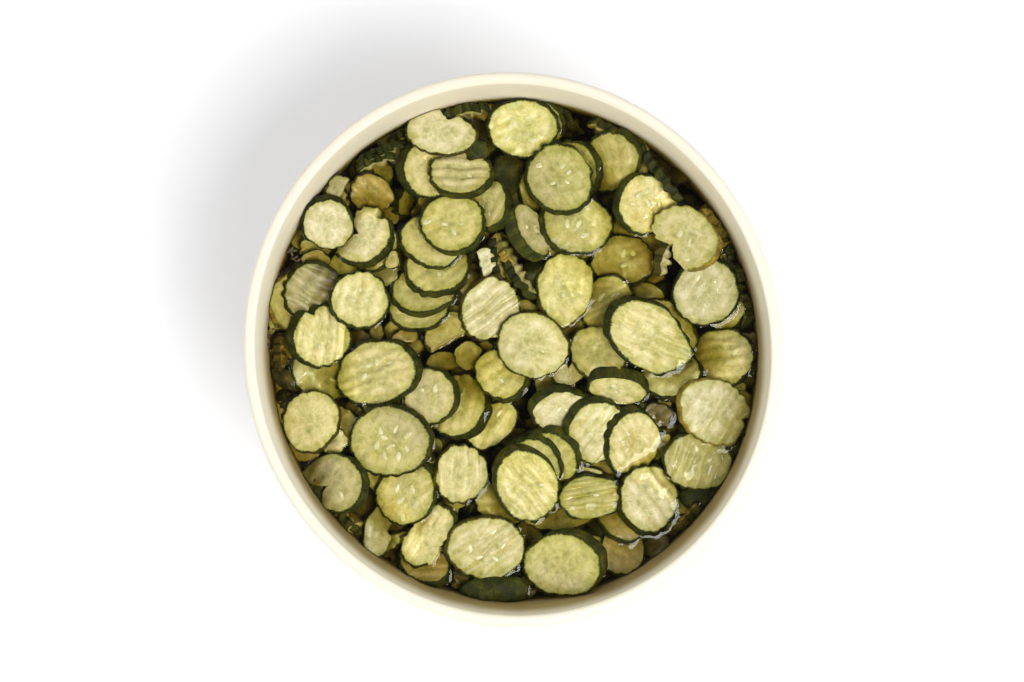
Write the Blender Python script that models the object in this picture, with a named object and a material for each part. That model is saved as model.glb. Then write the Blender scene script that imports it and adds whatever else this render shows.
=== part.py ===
# Open plastic tub filled with crinkle-cut pickle slices. Metres, +Z up.
# The origin is the centre of the foot ring, on the surface that the tub stands on.
import math
from collections import namedtuple

import bmesh
import bpy
import numpy as np
from mathutils import Vector

MM = 0.001

# Tub, in millimetres
TUB_HEIGHT = 170.0
RIM_INNER_RADIUS = 130.9
RIM_WIDTH = 6.6
RIM_DEPTH = 9.0
WALL = 2.5
DRAFT_DEGREES = 4.5
FLOOR_TOP = 4.0
FOOT_OUTER_RADIUS = 115.5
FOOT_WIDTH = 4.5
FOOT_DEPTH = 1.5
SEGMENTS = 56
OVAL = 0.018
OVAL_DIRECTION = math.radians(107.0)

# Contents, in millimetres
BRINE_LEVEL = TUB_HEIGHT - 30.0
CORE_LEVEL = BRINE_LEVEL - 3.0
CORE_GAP = 0.3
CHIP_GAP = 0.6
CHIP_THICKNESS = 4.6
CUT_SLANT = 1.3
RIDGE_PITCH = 9.2
RIDGE_HEIGHT = 0.8
FEWEST_ROWS = 4
ROW_INSET = 0.035
STANDING_DEPTH = 26.0

# How the chips settle: a flat chip floats this high, a leaning one dips its low edge,
# and a covered chip gives way, partly as a whole and partly by bending no more than so steeply.
FLAT_TOP = 2.5
LOW_EDGE_TOP = -1.5
STEADY_LEAN = 15.0
STEEP_LEAN = 45.0
STIFF_SHARE = 0.4
BEND_SLOPE = 0.35
BEND_REACH = 14
FUSE_DEPTH = 0.9
CELL = 2.0
MAP_REACH = 144.0

# How much of a chip that crosses the wall moves off it; the rest is pressed against it.
STANDING_SHIFT = 1.0
LYING_SHIFT = 0.3

# A lying chip: x and y of its middle and its size as seen from above, the direction of its long
# axis, the direction that its ridges run, the direction of its raised side, how far it leans,
# and the piece missing from its edge, if any, with the side that it is missing on.
Chip = namedtuple("Chip", "x y long wide turn ridge rise lean cut at")

# A chip that stands on edge: the same, with the height of its top edge above the brine.
Standing = namedtuple("Standing", "x y long wide rise lean top")

STANDING = [
    Standing(-60, 115, 28, 3.5, 118, 82, -3),
    Standing(-71, 104, 32, 4.0, 114, 80, 2),
    Standing(-70, 97, 24, 3.5, 108, 78, 2),
    Standing(-25, 126, 28, 3.5, 100, 78, 0),
    Standing(50, 112, 24, 4.0, 55, 74, 1),
    Standing(60, 110, 22, 4.0, 36, 78, 2),
    Standing(78, 95, 38, 3.0, 217, 80, 5),
    Standing(105, 63, 28, 5.0, 28, 70, 0),
    Standing(111, 56, 24, 3.0, 27, 80, -2),
    Standing(120, 21, 20, 3.0, 8, 76, -1),
    Standing(92, -88, 28, 6.0, -44, 64, -1),
    Standing(-88, -90, 28, 4.0, 222, 76, -1),
    Standing(-103, -71, 14, 4.0, 215, 70, -1),
    Standing(-122, -36, 30, 5.0, 195, 72, -2),
    Standing(-120, -3, 26, 6.0, 180, 66, -2),
    Standing(-9, 47, 24, 4.0, 190, 70, 1),
    Standing(-4, 51, 20, 4.0, 215, 68, 1),
    Standing(4, 38, 28, 5.0, 215, 66, 2),
    Standing(77, 46, 18, 5.0, 165, 62, 3),
]

# Lowest first: each chip lies over those before it.
LYING = [
    # small and sunken pieces in the gaps
    Chip(-102, 53, 18, 12, 10, 40, 90, 4, "", 0),
    Chip(-102, 46, 15, 11, 0, 20, 90, 3, "", 0),
    Chip(-90, 83, 15, 13, 60, 30, 150, 8, "half", -30),
    Chip(-113, 25, 30, 29, 90, 60, 180, 16, "", 0),
    Chip(-66, 39, 15, 12, 30, 0, 90, 5, "", 0),
    Chip(-56, 6, 16, 10, 20, 60, 90, 5, "half", 250),
    Chip(-80, 6, 12, 9, 0, 90, 0, 4, "", 0),
    Chip(-92, -48, 15, 12, 60, 30, 200, 6, "", 0),
    Chip(-71, -96, 29, 16, 78, 100, 200, 9, "notch", 0),
    Chip(-87, 45, 16, 13, 0, 40, 0, 5, "", 0),
    Chip(-68, 69, 18, 12, 0, 0, 90, 6, "", 0),
    Chip(-70, 51, 27, 17, 45, 45, -45, 8, "", 0),
    Chip(-62, 46, 10, 7, 70, 0, 0, 4, "", 0),
    Chip(-20, 102, 16, 13, 30, 60, 90, 6, "", 0),
    Chip(-15, 45, 16, 13, 80, 30, 100, 8, "half", 200),
    Chip(28, -12, 17, 13, 0, 85, 90, 4, "", 0),
    Chip(-15, 0, 11, 9, 60, 0, 0, 5, "", 0),
    Chip(-36, -6, 18, 10, 0, 0, 90, 8, "", 0),
    Chip(-23, -3, 15, 14, 60, 30, 0, 8, "", 0),
    Chip(-5, -80, 30, 22, -20, 20, 90, 5, "", 0),
    Chip(24, -84, 40, 20, 5, 20, 270, 5, "", 0),
    Chip(70, 38, 17, 10, 0, 30, 0, 6, "", 0),
    Chip(70, 29, 20, 10, -25, -25, 90, 6, "", 0),
    Chip(75, -34, 15, 13, 0, 40, 0, 6, "", 0),
    Chip(111, 18, 20, 15, 40, 40, 0, 6, "", 0),
    Chip(75, -103, 16, 14, 20, 60, 300, 6, "", 0),
    Chip(57, -105, 26, 24, 80, 90, 270, 8, "", 0),
    Chip(98, -76, 22, 11, 15, 30, -50, 20, "", 0),
    Chip(57, -87, 28, 24, -40, 0, 225, 13, "", 0),
    Chip(44, -60, 21, 15, 10, 0, 90, 5, "", 0),
    Chip(36, -66, 25, 11, 0, 0, 90, 8, "", 0),
    Chip(-47, -113, 28, 19, -20, 0, 262, 26, "", 0),
    Chip(-9, -125, 34, 13, 0, 30, 265, 25, "", 0),
    Chip(-2, 92, 20, 18, -60, 30, 60, 13, "tip", 275),
    # half-covered chips
    Chip(10, 116, 34, 33, 0, 30, 50, 17, "", 0),
    Chip(50, 97, 32, 30, 60, 100, 45, 20, "", 0),
    Chip(29, 92, 34, 32, -60, -50, 15, 18, "", 0),
    Chip(18, 82, 34, 30, -60, -45, 240, 9, "", 0),
    Chip(29, 61, 40, 32, -20, 20, 225, 6, "", 0),
    Chip(-13, 75, 27, 22, 80, 60, -30, 22, "", 0),
    Chip(9, 61, 31, 14, -60, 30, 205, 34, "", 0),
    Chip(-43, 94, 32, 30, 75, 20, 172, 21, "", 0),
    Chip(-38, 114, 38, 23, -10, 50, 300, 6, "spike", 95),
    Chip(67, 61, 32, 30, -40, -40, 228, 14, "", 0),
    Chip(57, 46, 34, 27, 0, 20, 250, 10, "", 0),
    Chip(49, 23, 32, 28, 70, 20, 90, 6, "", 0),
    Chip(44, -2, 30, 27, -30, 60, 285, 12, "", 0),
    Chip(109, -4, 33, 31, 0, 10, 0, 6, "", 0),
    Chip(82, -12, 32, 27, 10, 40, -50, 21, "", 0),
    Chip(77, 9, 40, 32, -40, -30, 30, 10, "", 0),
    Chip(-103, 29, 33, 31, 100, 150, 160, 10, "", 0),
    Chip(-100, -13, 33, 26, -40, 60, 200, 8, "", 0),
    Chip(-33, 8, 27, 22, 20, 45, 270, 9, "half", -60),
    Chip(-49, 22, 32, 25, 0, 5, 270, 8, "", 0),
    Chip(-46, 31, 35, 25, 5, 10, 268, 18, "", 0),
    Chip(-39, 43, 34, 29, 10, 40, 262, 18, "", 0),
    Chip(-42, 56, 34, 27, -20, 45, 235, 9, "", 0),
    Chip(-11, -39, 31, 20, 42, 60, 130, 6, "", 0),
    Chip(-29, -29, 35, 31, 50, 75, 335, 22, "", 0),
    Chip(-43, -24, 30, 28, 90, 100, 0, 13, "", 0),
    Chip(-6, -13, 29, 25, -30, 40, -40, 16, "", 0),
    Chip(24, -31, 31, 21, 10, 40, 120, 22, "", 0),
    Chip(54, -20, 32, 14, -8, 0, 85, 30, "", 0),
    Chip(43, -42, 34, 31, 60, 50, 130, 20, "", 0),
    Chip(76, -50, 16, 8, 60, 60, 150, 13, "", 0),
    Chip(16, -59, 37, 35, 0, 60, 60, 21, "", 0),
    Chip(9, -61, 33, 32, 0, 60, 60, 21, "", 0),
    Chip(-44, -96, 37, 25, 55, 60, 0, 8, "waist", 145),
    Chip(-55, -74, 35, 31, 60, 40, 30, 16, "", 0),
    # chips that lie on top
    Chip(-93, -69, 35, 31, 0, 30, -15, 16, "chunk", 215),
    Chip(-104, -37, 33, 29, 70, 120, -40, 6, "", 0),
    Chip(-12, 21, 34, 30, 60, 38, 160, 8, "", 0),
    Chip(27, 32, 37, 30, 80, 80, 225, 9, "tip", 268),
    Chip(10, 2.5, 38, 34, -20, -15, 90, 4, "", 0),
    Chip(-99, 7, 33, 30, 80, 82, 175, 21, "", 0),
    Chip(-79, 25.5, 31, 30, 0, 78, 230, 6, "", 0),
    Chip(-70, -12, 44, 34, 18, 20, 0, 16, "", 0),
    Chip(-63, -47, 43, 38, 0, 60, 20, 10, "", 0),
    Chip(-27, -64, 31, 27, 80, 90, 180, 8, "", 0),
    Chip(40, -76, 34, 24, 5, 8, 90, 8, "", 0),
    Chip(7, -69, 40, 33, -65, -50, 120, 17, "", 0),
    Chip(-14, -102, 41, 33, 0, 40, 150, 8, "", 0),
    Chip(26, -110, 41, 34, 0, 60, 30, 23, "", 0),
    Chip(62, -48, 35, 28, 70, -55, 130, 20, "", 0),
    Chip(70, -77, 36, 31, 90, -50, 225, 12, "", 0),
    Chip(96, -58, 37, 31, -10, 72, 90, 6, "", 0),
    Chip(104, -32, 40, 33, -35, 60, 180, 9, "", 0),
    Chip(99.5, 30, 36, 35, 90, 60, 60, 8, "", 0),
    Chip(69, 7, 47, 34, -38, -25, 140, 17, "tip", -15),
    Chip(68, 75, 32, 30, 80, 60, 165, 16, "tip", 5),
    Chip(88, 57, 37, 33, -30, -50, -30, 14, "chunk", 215),
    Chip(33, 65, 38, 32, -10, 30, 200, 13, "", 0),
    Chip(5, 115, 38, 30, 0, 25, 90, 8, "", 0),
    Chip(24, 88, 38, 34, -55, -50, 250, 8, "", 0),
    Chip(-31, 65, 34, 31, 0, 20, 300, 12, "", 0),
    Chip(-27, 91, 33, 24, 0, 0, -60, 16, "notch", 60),
    Chip(-73, 81, 23, 20, -20, -45, 130, 6, "", 0),
    Chip(-78, 59, 34, 29, 40, 130, -45, 16, "chunk", 152),
    Chip(-96, 65.5, 27, 26, 0, 90, 110, 17, "", 0),
]


# Tub

def wall_radius(height, angle):
    """Inner radius of the wall at a height and a direction. The rim is slightly oval."""
    drop = (TUB_HEIGHT - height) * math.tan(math.radians(DRAFT_DEGREES))
    share = max(0.0, height) / TUB_HEIGHT
    return (RIM_INNER_RADIUS - drop) * oval_factor(share, angle)


def oval_factor(share, angle):
    """Growth of the radius at a share of the tub's height and in a direction."""
    return 1.0 + OVAL * share * math.cos(2.0 * (angle - OVAL_DIRECTION))


def tub_profile():
    """Radius and height of the revolved wall, from the rim's crown down the outside and back."""
    tub_slope = math.tan(math.radians(DRAFT_DEGREES))
    outer = RIM_INNER_RADIUS + RIM_WIDTH
    under_rim = TUB_HEIGHT - RIM_DEPTH
    wall_foot = RIM_INNER_RADIUS + WALL - (TUB_HEIGHT - 7.0) * tub_slope
    floor_edge = RIM_INNER_RADIUS - (TUB_HEIGHT - FLOOR_TOP - 5.0) * tub_slope
    foot_inner = FOOT_OUTER_RADIUS - FOOT_WIDTH
    return [
        (outer - 3.3, TUB_HEIGHT),
        (outer - 1.2, TUB_HEIGHT - 0.7),
        (outer, TUB_HEIGHT - 2.8),
        (outer, under_rim + 1.0),
        (outer - 0.9, under_rim),
        (RIM_INNER_RADIUS + WALL - RIM_DEPTH * tub_slope, under_rim),
        (wall_foot, 7.0),
        (wall_foot - 1.0, 3.2),
        (wall_foot - 3.0, 0.9),
        (FOOT_OUTER_RADIUS, 0.0),
        (foot_inner, 0.0),
        (foot_inner - 1.0, FOOT_DEPTH),
        (0.0, FOOT_DEPTH),
        (0.0, FLOOR_TOP),
        (floor_edge - 5.0, FLOOR_TOP),
        (floor_edge - 1.4, FLOOR_TOP + 1.5),
        (floor_edge, FLOOR_TOP + 5.0),
        (RIM_INNER_RADIUS - 3.2 * tub_slope, TUB_HEIGHT - 3.2),
        (RIM_INNER_RADIUS + 0.9, TUB_HEIGHT - 0.8),
    ]


def revolve(name, profile):
    """A closed body of revolution about Z, made oval towards the top."""
    model = bmesh.new()
    corners = [model.verts.new((radius * MM, 0.0, height * MM)) for radius, height in profile]
    sides = zip(corners, corners[1:] + corners[:1])
    edges = [model.edges.new(pair) for pair in sides if pair[0].co.x + pair[1].co.x > 0.0]
    bmesh.ops.spin(
        model, geom=corners + edges, cent=(0, 0, 0), axis=(0, 0, 1), dvec=(0, 0, 0),
        angle=2.0 * math.pi, steps=SEGMENTS, use_merge=True, use_duplicate=False)
    bmesh.ops.remove_doubles(model, verts=model.verts, dist=0.00001)
    for vertex in model.verts:
        angle = math.atan2(vertex.co.y, vertex.co.x)
        factor = oval_factor(vertex.co.z / (TUB_HEIGHT * MM), angle)
        vertex.co.x *= factor
        vertex.co.y *= factor
    bmesh.ops.recalc_face_normals(model, faces=model.faces)
    return finish_mesh(name, model)


# Chips

def bump(turned, width):
    """1 in one direction, falling to 0 a width to either side of it. Degrees."""
    turned = (turned + 180.0) % 360.0 - 180.0
    return math.exp(-(turned / width) ** 2)


def edge_factor(chip, angle):
    """How far the edge lies out in a direction, against a true ellipse. Degrees."""
    phase = chip.x * 7.0 + chip.y * 3.0
    factor = 1.0 + 0.018 * math.sin(math.radians(3.0 * angle + phase))
    turned = angle - (chip.at - chip.turn)
    if chip.cut == "chunk":
        factor *= 1.0 - 0.62 * bump(turned, 36.0)
    elif chip.cut == "notch":
        factor *= 1.0 - 0.45 * bump(turned, 17.0)
    elif chip.cut == "waist":
        factor *= 1.0 - 0.34 * bump(turned, 28.0) - 0.34 * bump(turned + 180.0, 28.0)
    elif chip.cut == "tip":
        factor *= 1.0 + 0.17 * bump(turned, 20.0)
    elif chip.cut == "spike":
        factor *= 1.0 + 0.35 * bump(turned, 9.0)
    elif chip.cut == "half":
        across = math.cos(math.radians(turned))
        factor = min(factor, 0.30 / max(across, 0.01))
    return factor


def outline(chip, count=72):
    """Points of the chip's edge seen from above, in millimetres from its middle."""
    turn = math.radians(chip.turn)
    points = []
    for step in range(count):
        angle = 360.0 * step / count
        factor = edge_factor(chip, angle)
        along = 0.5 * chip.long * factor * math.cos(math.radians(angle))
        across = 0.5 * chip.wide * factor * math.sin(math.radians(angle))
        points.append((
            along * math.cos(turn) - across * math.sin(turn),
            along * math.sin(turn) + across * math.cos(turn)))
    return points


def slope_height(chip, x, y):
    """Height of the leaning chip's middle plane above its own middle."""
    rise = math.radians(chip.rise)
    return math.tan(math.radians(chip.lean)) * (x * math.cos(rise) + y * math.sin(rise))


def slant_shift(chip):
    """Chips are cut a little on the slant, so that the raised side shows more of its peel."""
    if chip.lean > STEEP_LEAN:
        return 0.0
    return CUT_SLANT * CHIP_THICKNESS * math.tan(math.radians(chip.lean))


def as_lying(piece):
    """A standing chip in the same terms as a lying one, its long side along the wall."""
    return Chip(
        piece.x, piece.y, piece.long, piece.wide, piece.rise - 90.0, piece.rise, piece.rise,
        piece.lean, "", 0)


def inside_cells(chip, grid_x, grid_y):
    """Which cells of the height map a lying chip covers."""
    turn = math.radians(chip.turn)
    dx = grid_x - chip.x
    dy = grid_y - chip.y
    along = (dx * math.cos(turn) + dy * math.sin(turn)) / (0.5 * chip.long)
    across = (dy * math.cos(turn) - dx * math.sin(turn)) / (0.5 * chip.wide)
    distance = np.hypot(along, across)
    near = distance < 1.4
    covered = np.zeros(grid_x.shape, dtype=bool)
    angles = np.degrees(np.arctan2(across[near], along[near]))
    covered[near] = distance[near] <= [edge_factor(chip, angle) for angle in angles]
    return covered


def floating_height(chip):
    """Height of an uncovered chip's middle: flat ones float, leaning ones dip their low edge."""
    lean = math.radians(chip.lean)
    turned = math.radians(chip.rise - chip.turn)
    reach = math.hypot(chip.long * math.cos(turned), chip.wide * math.sin(turned))
    share = min(1.0, chip.lean / STEADY_LEAN)
    low_top = FLAT_TOP + share * (LOW_EDGE_TOP - FLAT_TOP)
    low_rise = share * 0.5 * reach * math.tan(lean)
    return BRINE_LEVEL + low_top + low_rise - 0.5 * CHIP_THICKNESS


def bend_map(need):
    """Spreads a push over its surroundings, so that a chip bends and doesn't kink."""
    sag = need.copy()
    for _ in range(BEND_REACH):
        for step, axis in ((1, 0), (-1, 0), (1, 1), (-1, 1)):
            sag = np.maximum(sag, np.roll(sag, step, axis) - BEND_SLOPE * CELL)
    return sag


def settle(chips):
    """Middle height and bend map of each chip. The top chip is laid first."""
    reach = np.arange(-MAP_REACH, MAP_REACH + 0.1, CELL)
    grid_x, grid_y = np.meshgrid(reach, reach)
    ceiling = np.full(grid_x.shape, 1000.0)
    laid = []
    for chip in reversed(chips):
        covered = inside_cells(chip, grid_x, grid_y)
        slope = slope_height(chip, grid_x - chip.x, grid_y - chip.y)
        half = 0.5 * CHIP_THICKNESS / math.cos(math.radians(chip.lean))
        middle = floating_height(chip)
        need = np.where(covered, np.maximum(middle + slope + half - ceiling, 0.0), 0.0)
        drop = STIFF_SHARE * need.max()
        middle -= drop
        sag = bend_map(np.maximum(need - drop, 0.0))
        under = middle + slope - sag - half + FUSE_DEPTH
        ceiling = np.where(covered, np.minimum(ceiling, under), ceiling)
        laid.append((middle, sag))
    return laid[::-1]


def map_value(heights, x, y):
    """Reads a map between its cells."""
    column = (x + MAP_REACH) / CELL
    row = (y + MAP_REACH) / CELL
    left = int(column)
    low = int(row)
    right_share = column - left
    high_share = row - low
    lower = heights[low, left] * (1.0 - right_share) + heights[low, left + 1] * right_share
    upper = heights[low + 1, left] * (1.0 - right_share) + heights[low + 1, left + 1] * right_share
    return lower * (1.0 - high_share) + upper * high_share


def chord_rows(chip):
    """Rows across the ridges, one on each crest and trough: distance across, start and end."""
    ridge = math.radians(chip.ridge)
    turned = [
        (x * math.cos(ridge) + y * math.sin(ridge), y * math.cos(ridge) - x * math.sin(ridge))
        for x, y in outline(chip)]
    lowest = min(across for _, across in turned)
    highest = max(across for _, across in turned)
    rows = max(FEWEST_ROWS, round((highest - lowest) / (0.5 * RIDGE_PITCH)))
    inset = ROW_INSET * (highest - lowest)
    chords = []
    for row in range(rows + 1):
        level = lowest + inset + (highest - lowest - 2.0 * inset) * row / rows
        crossings = []
        for (x0, y0), (x1, y1) in zip(turned, turned[1:] + turned[:1]):
            if (y0 - level) * (y1 - level) < 0.0:
                crossings.append(x0 + (x1 - x0) * (level - y0) / (y1 - y0))
        chords.append((level, min(crossings), max(crossings)))
    return chords


def chip_corners(chip, middle, sag):
    """Top and bottom corner rows of one chip, in millimetres."""
    ridge = math.radians(chip.ridge)
    rise = math.radians(chip.rise)
    lean = math.tan(math.radians(chip.lean))
    uphill = Vector((math.cos(rise), math.sin(rise), 0.0))
    normal = (Vector((0.0, 0.0, 1.0)) - lean * uphill).normalized()
    slant = uphill * slant_shift(chip)
    rows = []
    for index, (across, start, end) in enumerate(chord_rows(chip)):
        wave = RIDGE_HEIGHT * (1 if index % 2 else -1)
        row = []
        for side, along in ((1, start), (1, end), (-1, end), (-1, start)):
            x = along * math.cos(ridge) - across * math.sin(ridge)
            y = along * math.sin(ridge) + across * math.cos(ridge)
            point = Vector((chip.x + x, chip.y + y, middle + slope_height(chip, x, y)))
            if sag is not None:
                point.z -= map_value(sag, point.x, point.y)
            if side < 0:
                point += slant
            row.append(point + normal * (wave + side * 0.5 * CHIP_THICKNESS))
        rows.append(row)
    return rows


def keep_in_tub(rows, share):
    """Moves a chip off the wall, and presses what still crosses it against the wall."""
    points = [point for row in rows for point in row]
    middle = sum(points, Vector()) / len(points)
    angle = math.atan2(middle.y, middle.x)
    outward = Vector((math.cos(angle), math.sin(angle), 0.0))
    excess = max(math.hypot(point.x, point.y) - wall_limit(point) for point in points)
    if excess > 0.0:
        for point in points:
            point -= outward * excess * share
    for point in points:
        radius = math.hypot(point.x, point.y)
        if radius > wall_limit(point):
            point.x *= wall_limit(point) / radius
            point.y *= wall_limit(point) / radius


def wall_limit(point):
    """How far from the axis a chip may reach at a point's height and direction."""
    return wall_radius(point.z, math.atan2(point.y, point.x)) - CHIP_GAP


def chip_body(rows):
    """A closed crinkled plate through rows of four corners."""
    model = bmesh.new()
    rings = [[model.verts.new(point * MM) for point in row] for row in rows]
    model.faces.new(rings[0])
    model.faces.new(reversed(rings[-1]))
    for near, far in zip(rings, rings[1:]):
        for side in range(4):
            after = (side + 1) % 4
            model.faces.new((near[side], far[side], far[after], near[after]))
    bmesh.ops.triangulate(model, faces=model.faces)
    bmesh.ops.recalc_face_normals(model, faces=model.faces)
    mesh = bpy.data.meshes.new("chip")
    model.to_mesh(mesh)
    model.free()
    return bpy.data.objects.new("chip", mesh)


def standing_height(chip, top):
    """Middle height of a chip on edge, whose highest point is given above the brine."""
    half_rise = 0.5 * chip.wide * math.tan(math.radians(chip.lean))
    return BRINE_LEVEL + top - min(half_rise, STANDING_DEPTH)


def all_chips():
    """A closed body for each chip."""
    bodies = []
    for piece in STANDING:
        chip = as_lying(piece)
        rows = chip_corners(chip, standing_height(chip, piece.top), None)
        keep_in_tub(rows, STANDING_SHIFT)
        bodies.append(chip_body(rows))
    for chip, (middle, sag) in zip(LYING, settle(LYING)):
        rows = chip_corners(chip, middle, sag)
        keep_in_tub(rows, LYING_SHIFT)
        bodies.append(chip_body(rows))
    return bodies


# Heap

def core_profile():
    """The packed contents below the chips that show, 0.3 mm clear of floor and wall."""
    tub_slope = math.tan(math.radians(DRAFT_DEGREES))
    floor = FLOOR_TOP + CORE_GAP
    edge = RIM_INNER_RADIUS - (TUB_HEIGHT - FLOOR_TOP - 7.0) * tub_slope - CORE_GAP
    top_edge = RIM_INNER_RADIUS - (TUB_HEIGHT - CORE_LEVEL) * tub_slope - CORE_GAP
    return [
        (0.0, CORE_LEVEL),
        (top_edge, CORE_LEVEL),
        (edge, FLOOR_TOP + 7.0),
        (edge - 7.0, floor),
        (0.0, floor),
    ]


def shells(model):
    """Connected groups of faces."""
    left = set(model.faces)
    groups = []
    while left:
        queue = [left.pop()]
        group = set(queue)
        while queue:
            face = queue.pop()
            for edge in face.edges:
                for other in edge.link_faces:
                    if other in left:
                        left.remove(other)
                        group.add(other)
                        queue.append(other)
        groups.append(group)
    return groups


def keep_outer_shell(item):
    """Fills the hollows that fusing sealed and drops loose scraps."""
    model = bmesh.new()
    model.from_mesh(item.data)
    groups = sorted(shells(model), key=len)
    loose = [face for group in groups[:-1] for face in group]
    bmesh.ops.delete(model, geom=loose, context="FACES")
    model.to_mesh(item.data)
    model.free()


def fuse(item, bodies):
    """One union of the core with a collection of chips."""
    group = bpy.data.collections.new("chips")
    bpy.context.scene.collection.children.link(group)
    for body in bodies:
        group.objects.link(body)
    union = item.modifiers.new("union", "BOOLEAN")
    union.operation = "UNION"
    union.operand_type = "COLLECTION"
    union.collection = group
    union.solver = "EXACT"
    bpy.context.view_layer.update()
    evaluated = item.evaluated_get(bpy.context.evaluated_depsgraph_get())
    fused = bpy.data.meshes.new_from_object(evaluated)
    item.modifiers.remove(union)
    item.data = fused
    for body in bodies:
        bpy.data.objects.remove(body)
    bpy.data.collections.remove(group)
    keep_outer_shell(item)


# Shared

def finish_mesh(name, model):
    """An object in the scene from a finished model."""
    mesh = bpy.data.meshes.new(name)
    model.to_mesh(mesh)
    model.free()
    item = bpy.data.objects.new(name, mesh)
    bpy.context.scene.collection.objects.link(item)
    return item


def paint(item, name, colour, roughness):
    """One plain material."""
    material = bpy.data.materials.new(name)
    material.use_nodes = True
    shader = material.node_tree.nodes["Principled BSDF"]
    shader.inputs["Base Color"].default_value = (*colour, 1.0)
    shader.inputs["Roughness"].default_value = roughness
    shader.inputs["Metallic"].default_value = 0.0
    item.data.materials.clear()
    item.data.materials.append(material)


def main():
    for item in list(bpy.data.objects):
        bpy.data.objects.remove(item)
    tub = revolve("tub", tub_profile())
    tub.data.shade_smooth()
    tub.data.set_sharp_from_angle(angle=math.radians(35.0))
    paint(tub, "warm white polyethylene", (0.88, 0.86, 0.79), 0.38)
    pickles = revolve("pickles", core_profile())
    fuse(pickles, all_chips())
    paint(pickles, "brined cucumber", (0.42, 0.40, 0.14), 0.30)


main()
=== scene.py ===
# Looks of the tub of sliced pickles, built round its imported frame. Metres, +Z up.
import functools
import math
import random
from collections import namedtuple

import bmesh
import bpy
import numpy as np
from mathutils import Matrix, Vector


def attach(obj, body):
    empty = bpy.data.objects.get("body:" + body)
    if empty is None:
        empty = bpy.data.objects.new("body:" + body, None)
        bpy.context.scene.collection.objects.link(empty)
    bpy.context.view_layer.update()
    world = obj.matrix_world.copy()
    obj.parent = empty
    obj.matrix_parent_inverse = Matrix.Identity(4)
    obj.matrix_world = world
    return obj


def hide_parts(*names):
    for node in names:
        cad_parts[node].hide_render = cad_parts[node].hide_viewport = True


bl_info = {
    "name": "Tub of Sliced Pickles",
    "version": (1, 0, 0),
    "blender": (4, 5, 0),
    "location": "View3D > Sidebar > Pickles",
    "description": "Makes an open tub of crinkle-cut cucumber slices in brine",
    "category": "Object",
}

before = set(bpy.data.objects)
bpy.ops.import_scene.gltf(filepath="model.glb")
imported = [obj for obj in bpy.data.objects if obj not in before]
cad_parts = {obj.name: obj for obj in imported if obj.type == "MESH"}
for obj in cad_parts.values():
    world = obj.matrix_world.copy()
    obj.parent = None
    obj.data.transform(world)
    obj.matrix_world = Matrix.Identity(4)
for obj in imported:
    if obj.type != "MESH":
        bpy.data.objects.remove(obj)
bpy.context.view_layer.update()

MM = 0.001
BODY = "root"

# The tub, in millimetres. These are the sizes of its solid.
TUB_HEIGHT = 170.0
RIM_INNER_RADIUS = 130.9
RIM_WIDTH = 6.6
RIM_DEPTH = 9.0
WALL = 2.5
DRAFT = math.tan(math.radians(4.5))
FLOOR_TOP = 4.0
FOOT_OUTER_RADIUS = 115.5
FOOT_WIDTH = 4.5
FOOT_DEPTH = 1.5
OVAL = 0.018
OVAL_DIRECTION = math.radians(107.0)
TUB_SEGMENTS = 224

# The contents, in millimetres
BRINE_LEVEL = TUB_HEIGHT - 30.0
CHIP_THICKNESS = 4.6
CHIP_GAP = 0.5
CUT_SLANT = 1.3
SCALLOP = 1.25
EDGE_ON_RIDGES = 1.4
STANDING_DEPTH = 26.0
FLAT_TOP = 2.5
LOW_EDGE_TOP = -1.5
STEADY_LEAN = 15.0
STEEP_LEAN = 45.0
STIFF_SHARE = 0.4
BEND_SLOPE = 0.35
BEND_REACH = 14
LAYER_GAP = -0.3
CELL = 2.0
MAP_REACH = 144.0
STANDING_SHIFT = 1.0
LYING_SHIFT = 0.3
SUNKEN_DEPTH = 7.0
SUNKEN_SPACING = 23.0
FRAGMENT_DEPTH = 2.2
FRAGMENT_SPACING = 8.0
HIDDEN_CELLS = 2
CORE_LEVEL = BRINE_LEVEL - 19.0
GROUP_SIZE = 36

# The places of the height maps' cells
GRID_X, GRID_Y = np.meshgrid(*[np.arange(-MAP_REACH, MAP_REACH + 0.1, CELL)] * 2)
NEIGHBOURS = ((1, 0), (-1, 0), (1, 1), (-1, 1))

# The brine's surface, in millimetres. It lies a little under the level that flat slices float at.
BRINE_SURFACE = BRINE_LEVEL - 1.5
BRINE_CELL = 1.1
BRINE_REACH = 1.2
BRINE_SKIRT = 12.0
BRINE_FLOOR = 3.0
BRINE_TAPER = 0.93
MENISCUS_RISE = 0.6
MENISCUS_WIDTH = 1.3
MENISCUS_STEPS = 6

# The camera hangs a metre above the rim. Metres, and the lens in millimetres.
CAMERA_PLACE = (-0.0005, 0.0044, TUB_HEIGHT * MM + 1.0)
CAMERA_LENS = 70.2

# A lying slice: x and y of its middle and its size as seen from above, the direction of its long
# axis, the direction that its ridges run, the direction of its raised side, how far it leans, the
# piece missing from its edge, if any, with the side that it is missing on, and its flesh and peel.
Chip = namedtuple("Chip", "x y long wide turn ridge rise lean cut at flesh peel")

# A slice that stands on edge, with the height of its top edge above the brine.
Standing = namedtuple("Standing", "x y long wide rise lean top flesh peel")

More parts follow.
